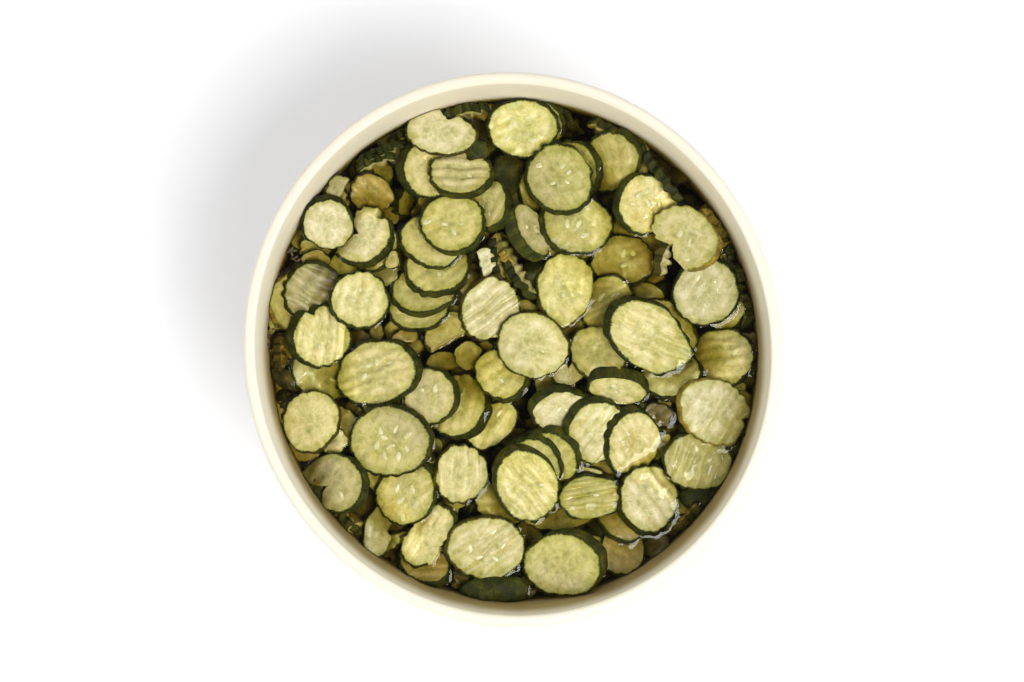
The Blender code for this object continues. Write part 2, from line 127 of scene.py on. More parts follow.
STANDING = [
    Standing(-60, 115, 28, 3.5, 118, 82, -3, "brown", "green"),
    Standing(-71, 104, 32, 4.0, 114, 80, 2, "olive", "green"),
    Standing(-70, 97, 24, 3.5, 108, 78, 2, "cream", "green"),
    Standing(-25, 126, 28, 3.5, 100, 78, 0, "cream", "green"),
    Standing(50, 112, 24, 4.0, 55, 74, 1, "cream", "olive"),
    Standing(60, 110, 22, 4.0, 36, 78, 0, "green", "green"),
    Standing(78, 95, 38, 3.0, 217, 80, 5, "dark", "green"),
    Standing(105, 63, 28, 5.0, 28, 70, 0, "olive", "yellow"),
    Standing(111, 56, 24, 3.0, 27, 80, -2, "olive", "green"),
    Standing(120, 21, 20, 3.0, 8, 76, -1, "olive", "green"),
    Standing(92, -88, 28, 6.0, -44, 64, -1, "brown", "olive"),
    Standing(-88, -90, 28, 4.0, 222, 76, -1, "brown", "green"),
    Standing(-103, -71, 14, 4.0, 215, 70, -1, "brown", "olive"),
    Standing(-122, -36, 30, 5.0, 195, 72, -3, "brown", "green"),
    Standing(-120, -3, 26, 6.0, 180, 66, -2, "brown", "olive"),
    Standing(-9, 47, 24, 4.0, 190, 70, 1, "green", "green"),
    Standing(-4, 51, 20, 4.0, 215, 68, 1, "olive", "yellow"),
    Standing(4, 38, 28, 5.0, 215, 66, 2, "pale", "green"),
    Standing(77, 46, 18, 5.0, 165, 62, 3, "white", "olive"),
]

# The first of these, up to DEEP_ROWS, lie low in the gaps and show no seeds.
DEEP_ROWS = 34
LYING = [
    Chip(-102, 53, 18, 12, 10, 40, 90, 4, "", 0, "olive", "olive"),
    Chip(-102, 46, 15, 11, 0, 20, 90, 3, "", 0, "brown", "olive"),
    Chip(-90, 83, 15, 13, 60, 30, 150, 8, "half", -30, "grey", "olive"),
    Chip(-113, 25, 30, 29, 90, 60, 180, 16, "", 0, "olive", "yellow"),
    Chip(-66, 39, 15, 12, 30, 0, 90, 5, "", 0, "grey", "green"),
    Chip(-56, 6, 16, 10, 20, 60, 90, 5, "half", 250, "brown", "green"),
    Chip(-80, 6, 12, 9, 0, 90, 0, 4, "", 0, "dark", "olive"),
    Chip(-92, -48, 15, 12, 60, 30, 200, 6, "", 0, "grey", "green"),
    Chip(-71, -96, 29, 16, 78, 100, 200, 9, "notch", 0, "grey", "green"),
    Chip(-87, 45, 16, 13, 0, 40, 0, 5, "", 0, "olive", "olive"),
    Chip(-68, 69, 18, 12, 0, 0, 90, 6, "", 0, "olive", "olive"),
    Chip(-70, 51, 27, 17, 45, 45, -45, 8, "", 0, "olive", "green"),
    Chip(-62, 46, 10, 7, 70, 0, 0, 4, "", 0, "olive", "green"),
    Chip(-20, 102, 16, 13, 30, 60, 90, 6, "", 0, "skin", "green"),
    Chip(-15, 45, 16, 13, 80, 30, 100, 8, "half", 200, "white", "green"),
    Chip(28, -12, 17, 13, 0, 85, 90, 4, "split", 80, "grey", "green"),
    Chip(-15, 0, 11, 9, 60, 0, 0, 5, "", 0, "grey", "olive"),
    Chip(-36, -6, 18, 10, 0, 0, 90, 8, "", 0, "grey", "olive"),
    Chip(-23, -3, 15, 14, 60, 30, 0, 8, "", 0, "pale", "olive"),
    Chip(-5, -80, 30, 22, -20, 20, 90, 5, "", 0, "olive", "olive"),
    Chip(24, -84, 40, 20, 5, 20, 270, 5, "", 0, "olive", "olive"),
    Chip(70, 38, 17, 10, 0, 30, 0, 6, "", 0, "brown", "olive"),
    Chip(70, 29, 20, 10, -25, -25, 90, 6, "", 0, "grey", "olive"),
    Chip(75, -34, 15, 13, 0, 40, 0, 6, "", 0, "dark", "olive"),
    Chip(111, 18, 20, 15, 40, 40, 0, 6, "", 0, "olive", "green"),
    Chip(75, -103, 16, 14, 20, 60, 300, 6, "", 0, "dark", "green"),
    Chip(57, -105, 26, 24, 80, 90, 270, 8, "", 0, "brown", "green"),
    Chip(98, -76, 22, 11, 15, 30, -50, 20, "", 0, "skin", "green"),
    Chip(57, -87, 28, 24, -40, 0, 225, 13, "", 0, "brown", "green"),
    Chip(44, -60, 21, 15, 10, 0, 90, 5, "", 0, "grey", "olive"),
    Chip(36, -66, 25, 11, 0, 0, 90, 8, "", 0, "white", "olive"),
    Chip(-47, -113, 28, 19, -20, 0, 262, 26, "", 0, "brown", "green"),
    Chip(-9, -125, 34, 13, 0, 30, 265, 25, "", 0, "skin", "green"),
    Chip(-2, 92, 20, 18, -60, 30, 60, 13, "tip", 275, "skin", "green"),
    Chip(10, 116, 34, 33, 0, 30, 50, 17, "", 0, "green", "green"),
    Chip(50, 97, 32, 30, 60, 100, 45, 20, "", 0, "olive", "green"),
    Chip(29, 92, 34, 32, -60, -50, 15, 18, "", 0, "olive", "green"),
    Chip(18, 82, 34, 30, -60, -45, 240, 9, "", 0, "olive", "green"),
    Chip(29, 61, 40, 32, -20, 20, 225, 6, "", 0, "green", "green"),
    Chip(-13, 75, 27, 22, 80, 60, -30, 22, "", 0, "green", "green"),
    Chip(9, 61, 31, 14, -60, 30, 205, 34, "", 0, "grey", "green"),
    Chip(-43, 94, 32, 30, 75, 20, 172, 21, "", 0, "cream", "green"),
    Chip(-38, 114, 38, 23, -10, 50, 300, 6, "spike", 97, "white", "olive"),
    Chip(67, 61, 32, 30, -40, -40, 228, 14, "", 0, "cream", "yellow"),
    Chip(57, 46, 34, 27, 0, 20, 250, 10, "", 0, "cream", "green"),
    Chip(49, 23, 32, 28, 70, 20, 90, 6, "", 0, "green", "green"),
    Chip(44, -2, 30, 27, -30, 60, 285, 12, "", 0, "olive", "olive"),
    Chip(109, -4, 33, 31, 0, 10, 0, 8, "", 0, "cream", "green"),
    Chip(82, -12, 32, 27, 10, 40, -50, 21, "nick", 325, "cream", "green"),
    Chip(77, 9, 40, 32, -40, -30, 30, 10, "", 0, "green", "olive"),
    Chip(-103, 29, 33, 31, 100, 150, 160, 10, "", 0, "grey", "green"),
    Chip(-100, -13, 33, 26, -40, 60, 200, 8, "", 0, "olive", "green"),
    Chip(-33, 8, 27, 22, 20, 45, 270, 9, "half", -60, "olive", "olive"),
    Chip(-49, 22, 32, 25, 0, 5, 270, 8, "", 0, "olive", "green"),
    Chip(-46, 31, 35, 25, 5, 10, 268, 18, "", 0, "olive", "green"),
    Chip(-39, 43, 34, 29, 10, 40, 262, 18, "", 0, "green", "green"),
    Chip(-42, 56, 34, 27, -20, 45, 235, 9, "", 0, "green", "green"),
    Chip(-11, -39, 31, 20, 42, 60, 130, 6, "", 0, "green", "green"),
    Chip(-29, -29, 35, 31, 50, 75, 335, 22, "", 0, "green", "green"),
    Chip(-43, -24, 30, 28, 90, 100, 0, 13, "", 0, "pale", "green"),
    Chip(-6, -13, 29, 25, -30, 40, -40, 16, "", 0, "green", "green"),
    Chip(24, -31, 31, 21, 10, 40, 120, 22, "", 0, "white", "green"),
    Chip(54, -20, 32, 14, -8, 0, 85, 30, "", 0, "cream", "green"),
    Chip(43, -42, 34, 31, 60, 50, 130, 20, "", 0, "cream", "green"),
    Chip(76, -50, 16, 8, 60, 60, 150, 13, "", 0, "olive", "green"),
    Chip(16, -59, 37, 35, 0, 60, 60, 21, "", 0, "green", "green"),
    Chip(9, -61, 33, 32, 0, 60, 60, 21, "", 0, "yellow", "green"),
    Chip(-44, -96, 37, 25, 55, 60, 0, 8, "waist", 145, "cream", "green"),
    Chip(-55, -74, 35, 31, 60, 40, 30, 16, "", 0, "green", "green"),
    Chip(-93, -69, 35, 31, 0, 30, -15, 16, "bite", 212, "grey", "green"),
    Chip(-104, -37, 33, 29, 70, 120, -40, 6, "", 0, "cream", "olive"),
    Chip(-12, 21, 34, 30, 60, 38, 160, 8, "", 0, "white", "olive"),
    Chip(27, 32, 37, 30, 80, 80, 225, 9, "tip", 268, "yellow", "olive"),
    Chip(10, 2.5, 38, 34, -20, -15, 90, 4, "", 0, "cream", "olive"),
    Chip(-99, 7, 33, 30, 80, 82, 175, 21, "nick", 112, "cream", "green"),
    Chip(-79, 25.5, 31, 30, 0, 78, 230, 6, "", 0, "cream", "green"),
    Chip(-70, -12, 44, 34, 18, 20, 0, 16, "", 0, "cream", "green"),
    Chip(-63, -47, 43, 38, 0, 60, 20, 10, "", 0, "green", "green"),
    Chip(-27, -64, 31, 27, 80, 90, 180, 8, "", 0, "cream", "olive"),
    Chip(40, -76, 34, 24, 5, 8, 90, 8, "", 0, "olive", "green"),
    Chip(7, -69, 40, 33, -65, -50, 120, 17, "", 0, "yellow", "green"),
    Chip(-14, -102, 41, 33, 0, 40, 150, 8, "", 0, "pale", "olive"),
    Chip(26, -110, 41, 34, 0, 60, 30, 23, "", 0, "green", "green"),
    Chip(62, -48, 35, 28, 70, -55, 130, 20, "", 0, "cream", "green"),
    Chip(70, -77, 36, 31, 90, -50, 225, 12, "", 0, "white", "green"),
    Chip(96, -58, 37, 31, -10, 72, 90, 6, "", 0, "olive", "green"),
    Chip(104, -32, 40, 33, -35, 60, 180, 9, "nick", 345, "white", "yellow"),
    Chip(99.5, 30, 36, 35, 90, 60, 60, 8, "", 0, "pale", "green"),
    Chip(69, 7, 47, 34, -38, -25, 140, 17, "tip", -15, "cream", "green"),
    Chip(68, 75, 32, 30, 80, 60, 165, 16, "tip", 5, "cream", "green"),
    Chip(88, 57, 37, 33, -30, -50, -30, 14, "chunk", 215, "pale", "yellow"),
    Chip(33, 65, 38, 32, -10, 30, 200, 13, "", 0, "green", "green"),
    Chip(5, 115, 38, 30, 0, 25, 90, 8, "", 0, "yellow", "green"),
    Chip(24, 88, 38, 34, -55, -50, 250, 8, "", 0, "green", "green"),
    Chip(-31, 65, 34, 31, 0, 20, 300, 12, "", 0, "green", "green"),
    Chip(-27, 91, 33, 24, 0, 0, -60, 16, "notch", 60, "pale", "green"),
    Chip(-73, 81, 23, 20, -20, -45, 130, 6, "", 0, "brown", "olive"),
    Chip(-78, 59, 34, 29, 40, 130, -45, 16, "torn", 152, "white", "green"),
    Chip(-96, 65.5, 27, 26, 0, 90, 110, 17, "", 0, "white", "green"),
]

# Slices with deeper ridges than most, by their places
STRONG_RIDGES = {
    (-12, 21): 1.5, (-99, 7): 1.2, (7, -69): 1.2, (40, -76): 1.6, (-27, 91): 1.5, (-38, 114): 0.25,
    (96, -58): 0.9, (104, -32): 0.6, (70, -77): 0.9, (69, 7): 0.8, (-70, -12): 0.9, (109, -4): 0.7,
    (-79, 25.5): 0.8, (-27, -64): 0.9, (-73, 81): 0.4, (24, 88): 0.7, (62, -48): 0.7, (-103, 29): 1.3,
}

# Slices whose one side has another tone: by their places, the direction of that side and its tone
SECOND_TONES = {
    (57, 46): (0, "brown"), (-103, 29): (10, "dark"), (-33, 8): (270, "brown"),
    (104, -32): (-45, "olive"), (96, -58): (270, "olive"), (-100, -13): (90, "olive"),
    (-14, -102): (250, "olive"), (5, 115): (300, "green"), (69, 7): (-30, "green"),
    (-70, -12): (200, "green"), (-55, -74): (200, "cream"), (29, 92): (0, "olive"),
    (-42, 56): (60, "white"), (33, 65): (240, "olive"), (24, 88): (200, "grey"),
    (10, 2.5): (200, "pale"), (-29, -29): (150, "grey"), (109, -4): (90, "grey"),
    (43, -42): (200, "pale"), (26, -110): (250, "pale"), (-93, -69): (180, "dark"),
    (-63, -47): (50, "grey"), (7, -69): (240, "cream"), (49, 23): (150, "pale"),
}

# What is missing from an edge, or stands out from it: for each dent or bump, its depth as a share
# of the radius, how many degrees it lies beside the cut's side, and its width in degrees.
CUTS = {
    "": (),
    "chunk": ((-0.62, 0.0, 36.0),),
    "notch": ((-0.45, 0.0, 17.0),),
    "bite": ((-0.80, 0.0, 34.0),),
    "nick": ((-0.20, 0.0, 12.0),),
    "split": ((-0.75, 0.0, 9.0),),
    "tip": ((0.17, 0.0, 20.0),),
    "waist": ((-0.34, 0.0, 28.0), (-0.34, 180.0, 28.0)),
    "torn": ((-0.86, 0.0, 36.0), (-0.28, 104.0, 12.0)),
    "spike": ((0.40, 0.0, 9.0), (-0.36, 26.0, 13.0)),
    "half": (),
}
HALF_LEFT = 0.30

# Seeds that show: x and y seen from above, and the direction of the long axis.
SEEDS = [
    (-76, 64, 110), (-73, 64, 80), (-74, 68, 140), (10, 108, 20), (-3, 109, 60), (0, 117, 100),
    (28, 65, 90), (34, 65, 60), (42, 65, 80), (37, 59, 20), (38, 74, 130), (65, 80, 40),
    (76, 76, 90), (70, 76, 120), (74, 72, 10), (58, 44, 30), (95, 37, 60), (105, 31, 100),
    (-60, -41, 60), (-68, -42, 90), (-63, -50, 30), (-55, -51, 120), (-59, -55, 80),
    (-70, -49, 70), (-66, -55, 100), (-54, -44, 40),
    (-60, -72, 70), (-52, -72, 100), (-58, -78, 40), (-50, -80, 60), (-57, -87, 90),
    (-10, -94, 30), (-22, -102, 90), (-5, -101, 60), (-17, -107, 10), (-9, -108, 150),
    (14, 95, 20), (-26, -22, 80), (-74, -8, 20), (-77, -14, 50), (-63, -7, 0),
    (-7, -33, 60), (24, -31, 40), (91, 55, 80), (89, 46, 20), (95, 60, 140), (86, 60, 60),
    (57, 50, 70), (50, 47, 30), (62, 50, 110), (-88, -75, 120),
    (53, 28, 20), (46, 27, 60), (49, 19, 110), (-44, 66, 20), (-40, -20, 80),
]

# Spice and scum that float by the wall: x, y and length.
SPECKS = [
    (-115, 52, 5), (-113, 46, 4), (-106, 60, 3), (-23, 119, 3), (-122, 12, 2), (76, 88, 3), (18, -38, 2),
]

# Bubbles by the wall: x, y and radius.
BUBBLES = [
    (-126.2, 7, 1.5), (-125.8, 11, 1.1), (-126.0, 3, 1.0), (-124.3, 9, 0.8), (-125.2, -1, 0.7),
    (-119.5, 40, 0.9), (119.0, -44, 0.9), (-6.5, 70, 0.8), (86, 35, 1.0), (-49, -3, 0.9),
    (-30, -44, 0.7), (35, -97, 0.8), (-77, -100, 0.9), (19, 51, 0.7),
]

# Flesh as it looks in daylight, from fresh slices to those that have lain in the brine longest
FLESH = {
    "white": "#d2c79f",
    "cream": "#d3c68e",
    "yellow": "#d5c986",
    "pale": "#c3b784",
    "green": "#c2b774",
    "olive": "#b4a862",
    "grey": "#b4a876",
    "brown": "#a38e47",
    "dark": "#61541f",
    "skin": "#3c4420",
}
PEEL = {
    "green": "#282b0b",
    "olive": "#38330f",
    "yellow": "#665a22",
}


def linear(colour):
    """Turns an sRGB hex colour to linear red, green and blue."""
    channels = [int(colour[start:start + 2], 16) / 255.0 for start in (1, 3, 5)]
    return [c / 12.92 if c <= 0.04045 else ((c + 0.055) / 1.055) ** 2.4 for c in channels]


# Materials

def fill(tree, item, inputs):
    """Sets a node's inputs to values, or links them to sockets."""
    for name, value in inputs.items():
        if isinstance(value, bpy.types.NodeSocket):
            tree.links.new(value, item.inputs[name])
        else:
            item.inputs[name].default_value = value


def node(tree, kind, inputs=None, **settings):
    """Adds one node, with its properties, and its inputs as values or as sockets to link."""
    item = tree.nodes.new(kind)
    for name, value in settings.items():
        setattr(item, name, value)
    fill(tree, item, inputs or {})
    return item


def new_material(name):
    """An empty material, its node tree and its shader."""
    material = bpy.data.materials.new(name)
    material.use_nodes = True
    tree = material.node_tree
    return material, tree, tree.nodes["Principled BSDF"]


def laid_over(tree, colour, layers):
    """Tints a colour by layers: what each follows, where it starts and is full, how much, its tint."""
    for source, low, high, amount, tint in layers:
        mask = node(tree, "ShaderNodeMapRange", {
            "Value": source, "From Min": low, "From Max": high, "To Max": amount},
            interpolation_type="SMOOTHSTEP").outputs[0]
        colour = node(tree, "ShaderNodeMix", {0: mask, 6: colour, 7: (*tint, 1.0)},
                      data_type="RGBA", blend_type="MULTIPLY").outputs[2]
    return colour


def flesh_material():
    """Brined cucumber, cut with a crinkle blade: pale wet flesh with a translucent seed core."""
    material, tree, shader = new_material("brined cucumber flesh")
    own = {}
    for name, output in (
            ("flesh_tone", "Color"), ("peel_tone", "Color"), ("place", "Vector"),
            ("fibre", "Vector"), ("share", "Fac"), ("crest", "Fac")):
        own[name] = node(tree, "ShaderNodeAttribute", attribute_name=name).outputs[output]

    # Patterns over the slice's own plane, with scales per millimetre. The fibres run outwards.
    noise = {}
    for name, vector, scale, detail, twist in (
            ("stain", "place", 0.08, 3.0, 0.4), ("mottle", "place", 0.24, 5.0, 0.6),
            ("fine", "place", 1.0, 4.0, 0.0), ("grain", "place", 3.0, 2.0, 0.0),
            ("streak", "fibre", 1.0, 4.0, 0.5)):
        noise[name] = node(tree, "ShaderNodeTexNoise", {
            "Vector": own[vector], "Scale": scale, "Detail": detail, "Roughness": 0.62,
            "Distortion": twist}).outputs["Fac"]
    wander = node(tree, "ShaderNodeMapRange", {
        "Value": noise["mottle"], "To Min": -0.2, "To Max": 0.2}).outputs[0]
    reach = node(tree, "ShaderNodeMath", {0: own["share"], 1: wander}, operation="ADD").outputs[0]

    # Pale walls between the gel cells of the core, some 4 mm apart
    warp = node(tree, "ShaderNodeTexNoise", {
        "Vector": own["place"], "Scale": 0.3, "Detail": 3.0}).outputs["Color"]
    warped = node(tree, "ShaderNodeVectorMath", {
        0: warp, 1: (5.0, 5.0, 5.0), 2: own["place"]}, operation="MULTIPLY_ADD").outputs[0]
    cells = node(tree, "ShaderNodeTexVoronoi", {
        "Vector": warped, "Scale": 0.24}, feature="DISTANCE_TO_EDGE").outputs["Distance"]
    wall = node(tree, "ShaderNodeMapRange", {
        "Value": cells, "From Min": 0.10, "From Max": 0.0}, interpolation_type="SMOOTHSTEP").outputs[0]
    in_core = node(tree, "ShaderNodeMapRange", {
        "Value": reach, "From Min": 0.62, "From Max": 0.42}, interpolation_type="SMOOTHSTEP").outputs[0]
    veins = node(tree, "ShaderNodeMath", {0: wall, 1: in_core}, operation="MULTIPLY").outputs[0]
    gel = node(tree, "ShaderNodeMath", {0: cells, 1: in_core}, operation="MULTIPLY").outputs[0]

    out_of_core = node(tree, "ShaderNodeMapRange", {
        "Value": own["share"], "From Min": 0.4, "From Max": 0.8, "To Min": 0.6, "To Max": 1.0}).outputs[0]
    streaks = node(tree, "ShaderNodeMath", {
        0: noise["streak"], 1: out_of_core}, operation="MULTIPLY").outputs[0]

    colour = laid_over(tree, own["flesh_tone"], (
        (reach, 0.64, 0.34, 0.9, (0.82, 0.85, 0.74)),
        (gel, 0.20, 0.42, 0.8, (0.66, 0.71, 0.62)),
        (veins, 0.0, 1.0, 0.75, (1.25, 1.25, 1.40)),
        (noise["mottle"], 0.46, 0.66, 0.75, (0.76, 0.77, 0.60)),
        (noise["mottle"], 0.48, 0.32, 0.55, (1.11, 1.11, 1.18)),
        (streaks, 0.50, 0.68, 0.5, (1.16, 1.16, 1.22)),
        (streaks, 0.46, 0.34, 0.5, (0.84, 0.84, 0.68)),
        (noise["stain"], 0.55, 0.70, 0.6, (0.92, 0.84, 0.52)),
        (noise["fine"], 0.52, 0.70, 0.5, (0.76, 0.76, 0.56)),
        (noise["grain"], 0.50, 0.75, 0.3, (0.70, 0.70, 0.50)),
        # Painted shade darkens the troughs between the ridges, and painted light makes the crests paler.
        (own["crest"], 0.0, -1.1, 0.45, (0.74, 0.75, 0.55)),
        (own["crest"], 0.1, 1.2, 0.45, (1.12, 1.12, 1.20)),
        # The flesh turns green and darker just inside the peel.
        (reach, 0.54, 0.97, 1.0, (0.62, 0.67, 0.32)),
    ))
    # The peel's colour covers the outer ring of the top face: partly the peel's own edge, partly painted
    # shade along the slice's edge.
    ragged = node(tree, "ShaderNodeMapRange", {
        "Value": noise["fine"], "To Min": -0.06, "To Max": 0.06}).outputs[0]
    edge = node(tree, "ShaderNodeMath", {0: own["share"], 1: ragged}, operation="ADD").outputs[0]
    at_peel = node(tree, "ShaderNodeMapRange", {
        "Value": edge, "From Min": 0.895, "From Max": 0.95}, interpolation_type="SMOOTHSTEP").outputs[0]
    colour = node(tree, "ShaderNodeMix", {
        0: at_peel, 6: colour, 7: own["peel_tone"]}, data_type="RGBA").outputs[2]

    normal = {}
    for name, strength, distance in (
            ("fine", 0.4, 0.00025), ("streak", 0.4, 0.00035), ("mottle", 0.5, 0.0007)):
        bump = node(tree, "ShaderNodeBump", {
            "Strength": strength, "Distance": distance, "Height": noise[name], **normal})
        normal = {"Normal": bump.outputs["Normal"]}
    # The flesh is glossy with brine, and the peel is dull.
    for name, gloss in (("Specular IOR Level", 0.5), ("Coat Weight", 0.3)):
        fading = node(tree, "ShaderNodeMapRange", {
            "Value": at_peel, "To Min": gloss, "To Max": 0.15 * gloss}).outputs[0]
        fill(tree, shader, {name: fading})
    fill(tree, shader, {
        "Base Color": colour, "Roughness": 0.38, "IOR": 1.36, "Subsurface Weight": 0.12,
        "Subsurface Radius": (1.0, 0.85, 0.35), "Subsurface Scale": 0.0012,
        "Coat Roughness": 0.16, "Coat IOR": 1.34, **normal})
    return material


def peel_material():
    """Cucumber peel: thin, waxy and wet, mottled from green-black to olive."""
    material, tree, shader = new_material("brined cucumber peel")
    peel = node(tree, "ShaderNodeAttribute", attribute_name="peel_tone").outputs["Color"]
    place = node(tree, "ShaderNodeAttribute", attribute_name="place").outputs["Vector"]
    patch = node(tree, "ShaderNodeTexNoise", {
        "Vector": place, "Scale": 0.16, "Detail": 4.0, "Roughness": 0.62}).outputs["Fac"]
    speck = node(tree, "ShaderNodeTexNoise", {
        "Vector": place, "Scale": 0.9, "Detail": 3.0, "Roughness": 0.6}).outputs["Fac"]
    colour = laid_over(tree, peel, (
        (patch, 0.42, 0.66, 1.0, (2.5, 2.1, 1.2)),
        (patch, 0.42, 0.30, 1.0, (0.55, 0.6, 0.6)),
        (speck, 0.58, 0.72, 0.6, (2.4, 2.2, 1.4))))
    bump = node(tree, "ShaderNodeBump", {
        "Strength": 0.8, "Distance": 0.0008, "Height": speck}).outputs["Normal"]
    fill(tree, shader, {
        "Base Color": colour, "Normal": bump, "Roughness": 0.5, "IOR": 1.36, "Specular IOR Level": 0.25})
    return material


def grained_material(name, colour, scale, tint, inputs):
    """An opaque material with a fine pattern: its scale per metre, its tint and its shader's inputs."""
    material, tree, shader = new_material(name)
    place = node(tree, "ShaderNodeTexCoord").outputs["Object"]
    pattern = node(tree, "ShaderNodeTexNoise", {
        "Vector": place, "Scale": scale, "Detail": 2.0}).outputs["Fac"]
    base = node(tree, "ShaderNodeRGB")
    base.outputs[0].default_value = (*linear(colour), 1.0)
    toned = laid_over(tree, base.outputs[0], ((pattern, 0.35, 0.65, 1.0, tint),))
    fill(tree, shader, {"Base Color": toned, **inputs})
    return material


def seed_material():
    """Soft unripe cucumber seeds, pearly and a little see-through."""
    return grained_material("unripe cucumber seed", "#cfc997", 220.0, (0.80, 0.80, 0.66), {
        "Roughness": 0.25, "IOR": 1.38, "Subsurface Weight": 0.3, "Subsurface Scale": 0.001,
        "Coat Weight": 0.4, "Coat Roughness": 0.1})


def speck_material():
    """Bits of dill and spice, dark and sodden."""
    return grained_material("sodden spice", "#4c3c14", 500.0, (0.4, 0.38, 0.3), {"Roughness": 0.45})


def bubble_material():
    """Air trapped under a film of brine: only its gloss shows."""
    material, tree, shader = new_material("brine film")
    place = node(tree, "ShaderNodeTexCoord").outputs["Object"]
    film = node(tree, "ShaderNodeTexNoise", {"Vector": place, "Scale": 300.0}).outputs["Fac"]
    rough = node(tree, "ShaderNodeMapRange", {"Value": film, "To Min": 0.02, "To Max": 0.08}).outputs[0]
    fill(tree, shader, {
        "Base Color": (*linear("#f2ead2"), 1.0), "Roughness": rough, "IOR": 1.2,
        "Transmission Weight": 1.0})
    return material


def brine_material(clear_colour, density):
    """Old pickling brine: water clear, olive-brown, and nearly black a few centimetres down."""
    material, tree, shader = new_material("pickling brine")
    place = node(tree, "ShaderNodeTexCoord").outputs["Object"]
    # A skin of fine scum barely roughens the surface.
    scum = node(tree, "ShaderNodeTexNoise", {
        "Vector": place, "Scale": 140.0, "Detail": 2.0}).outputs["Fac"]
    bump = node(tree, "ShaderNodeBump", {
        "Strength": 0.06, "Distance": 0.0005, "Height": scum}).outputs["Normal"]
    fill(tree, shader, {
        "Base Color": (1.0, 1.0, 1.0, 1.0), "Normal": bump, "Roughness": 0.02, "IOR": 1.34,
        "Transmission Weight": 1.0})
    shadow = node(tree, "ShaderNodeLightPath").outputs["Is Shadow Ray"]
    clear = node(tree, "ShaderNodeBsdfTransparent").outputs["BSDF"]
    mixed = node(tree, "ShaderNodeMixShader", {0: shadow, 1: shader.outputs["BSDF"], 2: clear})
    volume = node(tree, "ShaderNodeVolumeAbsorption", {"Color": (*clear_colour, 1.0), "Density": density})
    fill(tree, tree.nodes["Material Output"], {"Surface": mixed.outputs[0], "Volume": volume.outputs[0]})
    return material


def tub_material(name, colour, wet):
    """Moulded polyethylene: satin, faintly waxy, with a fine even moulding grain. When wet, its inner wall
    also gets a brine stain that is partly painted shade.
    """
    material, tree, shader = new_material(name)
    place = node(tree, "ShaderNodeTexCoord").outputs["Object"]
    # Grain of about 0.6 mm, and a cloudiness some 40 mm wide
    grain = node(tree, "ShaderNodeTexNoise", {
        "Vector": place, "Scale": 1600.0, "Detail": 2.0}).outputs["Fac"]
    cloud = node(tree, "ShaderNodeTexNoise", {
        "Vector": place, "Scale": 25.0, "Detail": 3.0}).outputs["Fac"]
    layers = [(cloud, 0.35, 0.7, 0.35, (0.95, 0.95, 0.93))]
    if wet:
        # The wall is greyed by brine, up to the rim on the +Y side, and brine has also crept up it, browning
        # it in runs of some 10 mm, most of all on the -Y side. Both tints are partly a real brine stain and
        # partly painted shade, their heights tilted across the tub to darken some sides of the wall more
        # than others.
        run = node(tree, "ShaderNodeTexNoise", {
            "Vector": place, "Scale": 90.0, "Detail": 4.0}).outputs["Fac"]
        dull, level = (
            node(tree, "ShaderNodeVectorMath", {
                0: place, 1: tilt}, operation="DOT_PRODUCT").outputs["Value"]
            for tilt in ((0.0, -0.08, 1.0), (-0.02, 0.10, 1.0)))
        creep = node(tree, "ShaderNodeMath", {
            0: run, 1: 0.005, 2: level}, operation="MULTIPLY_ADD").outputs[0]
        layers += [
            (dull, 0.172, 0.150, 1.0, (0.91, 0.88, 0.80)), (creep, 0.161, 0.142, 1.0, (0.40, 0.33, 0.17))]
    base = node(tree, "ShaderNodeRGB")
    base.outputs[0].default_value = (*linear(colour), 1.0)
    toned = laid_over(tree, base.outputs[0], layers)
    rough = node(tree, "ShaderNodeMapRange", {"Value": cloud, "To Min": 0.30, "To Max": 0.42}).outputs[0]
    bump = node(tree, "ShaderNodeBump", {
        "Strength": 0.12, "Distance": 0.0002, "Height": grain}).outputs["Normal"]
    fill(tree, shader, {
        "Base Color": toned, "Normal": bump, "Roughness": rough, "IOR": 1.51,
        "Subsurface Weight": 0.15, "Subsurface Scale": 0.002})
    return material


def floor_material():
    """Seamless white paper."""
    material, tree, shader = new_material("white paper")
    place = node(tree, "ShaderNodeTexCoord").outputs["Object"]
    tooth = node(tree, "ShaderNodeTexNoise", {"Vector": place, "Scale": 900.0}).outputs["Fac"]
    bump = node(tree, "ShaderNodeBump", {
        "Strength": 0.05, "Distance": 0.0002, "Height": tooth}).outputs["Normal"]
    fill(tree, shader, {"Base Color": (0.93, 0.93, 0.94, 1.0), "Normal": bump, "Roughness": 0.8})
    return material


# Meshes

def to_object(name, model, material, smooth_angle=40.0):
    """A shaded object from a finished model. It rides with the part."""
    mesh = bpy.data.meshes.new(name)
    model.to_mesh(mesh)
    model.free()
    mesh.materials.append(material)
    mesh.shade_smooth()
    mesh.set_sharp_from_angle(angle=math.radians(smooth_angle))
    item = bpy.data.objects.new(name, mesh)
    bpy.context.scene.collection.objects.link(item)
    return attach(item, BODY)


def join(name, items):
    """One object from several that have the same materials and attributes. It rides with the part."""
    with bpy.context.temp_override(active_object=items[0], selected_editable_objects=items):
        bpy.ops.object.join()
    items[0].name = name
    items[0].data.name = name
    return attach(items[0], BODY)


def oval(height, angle):
    """How far the tub bulges in a direction. Its rim is slightly oval, and its foot is round."""
    return 1.0 + OVAL * np.maximum(0.0, height) / TUB_HEIGHT * np.cos(2.0 * (angle - OVAL_DIRECTION))


def wall_radius(height, angle):
    """Inner radius of the wall."""
    return (RIM_INNER_RADIUS - (TUB_HEIGHT - height) * DRAFT) * oval(height, angle)


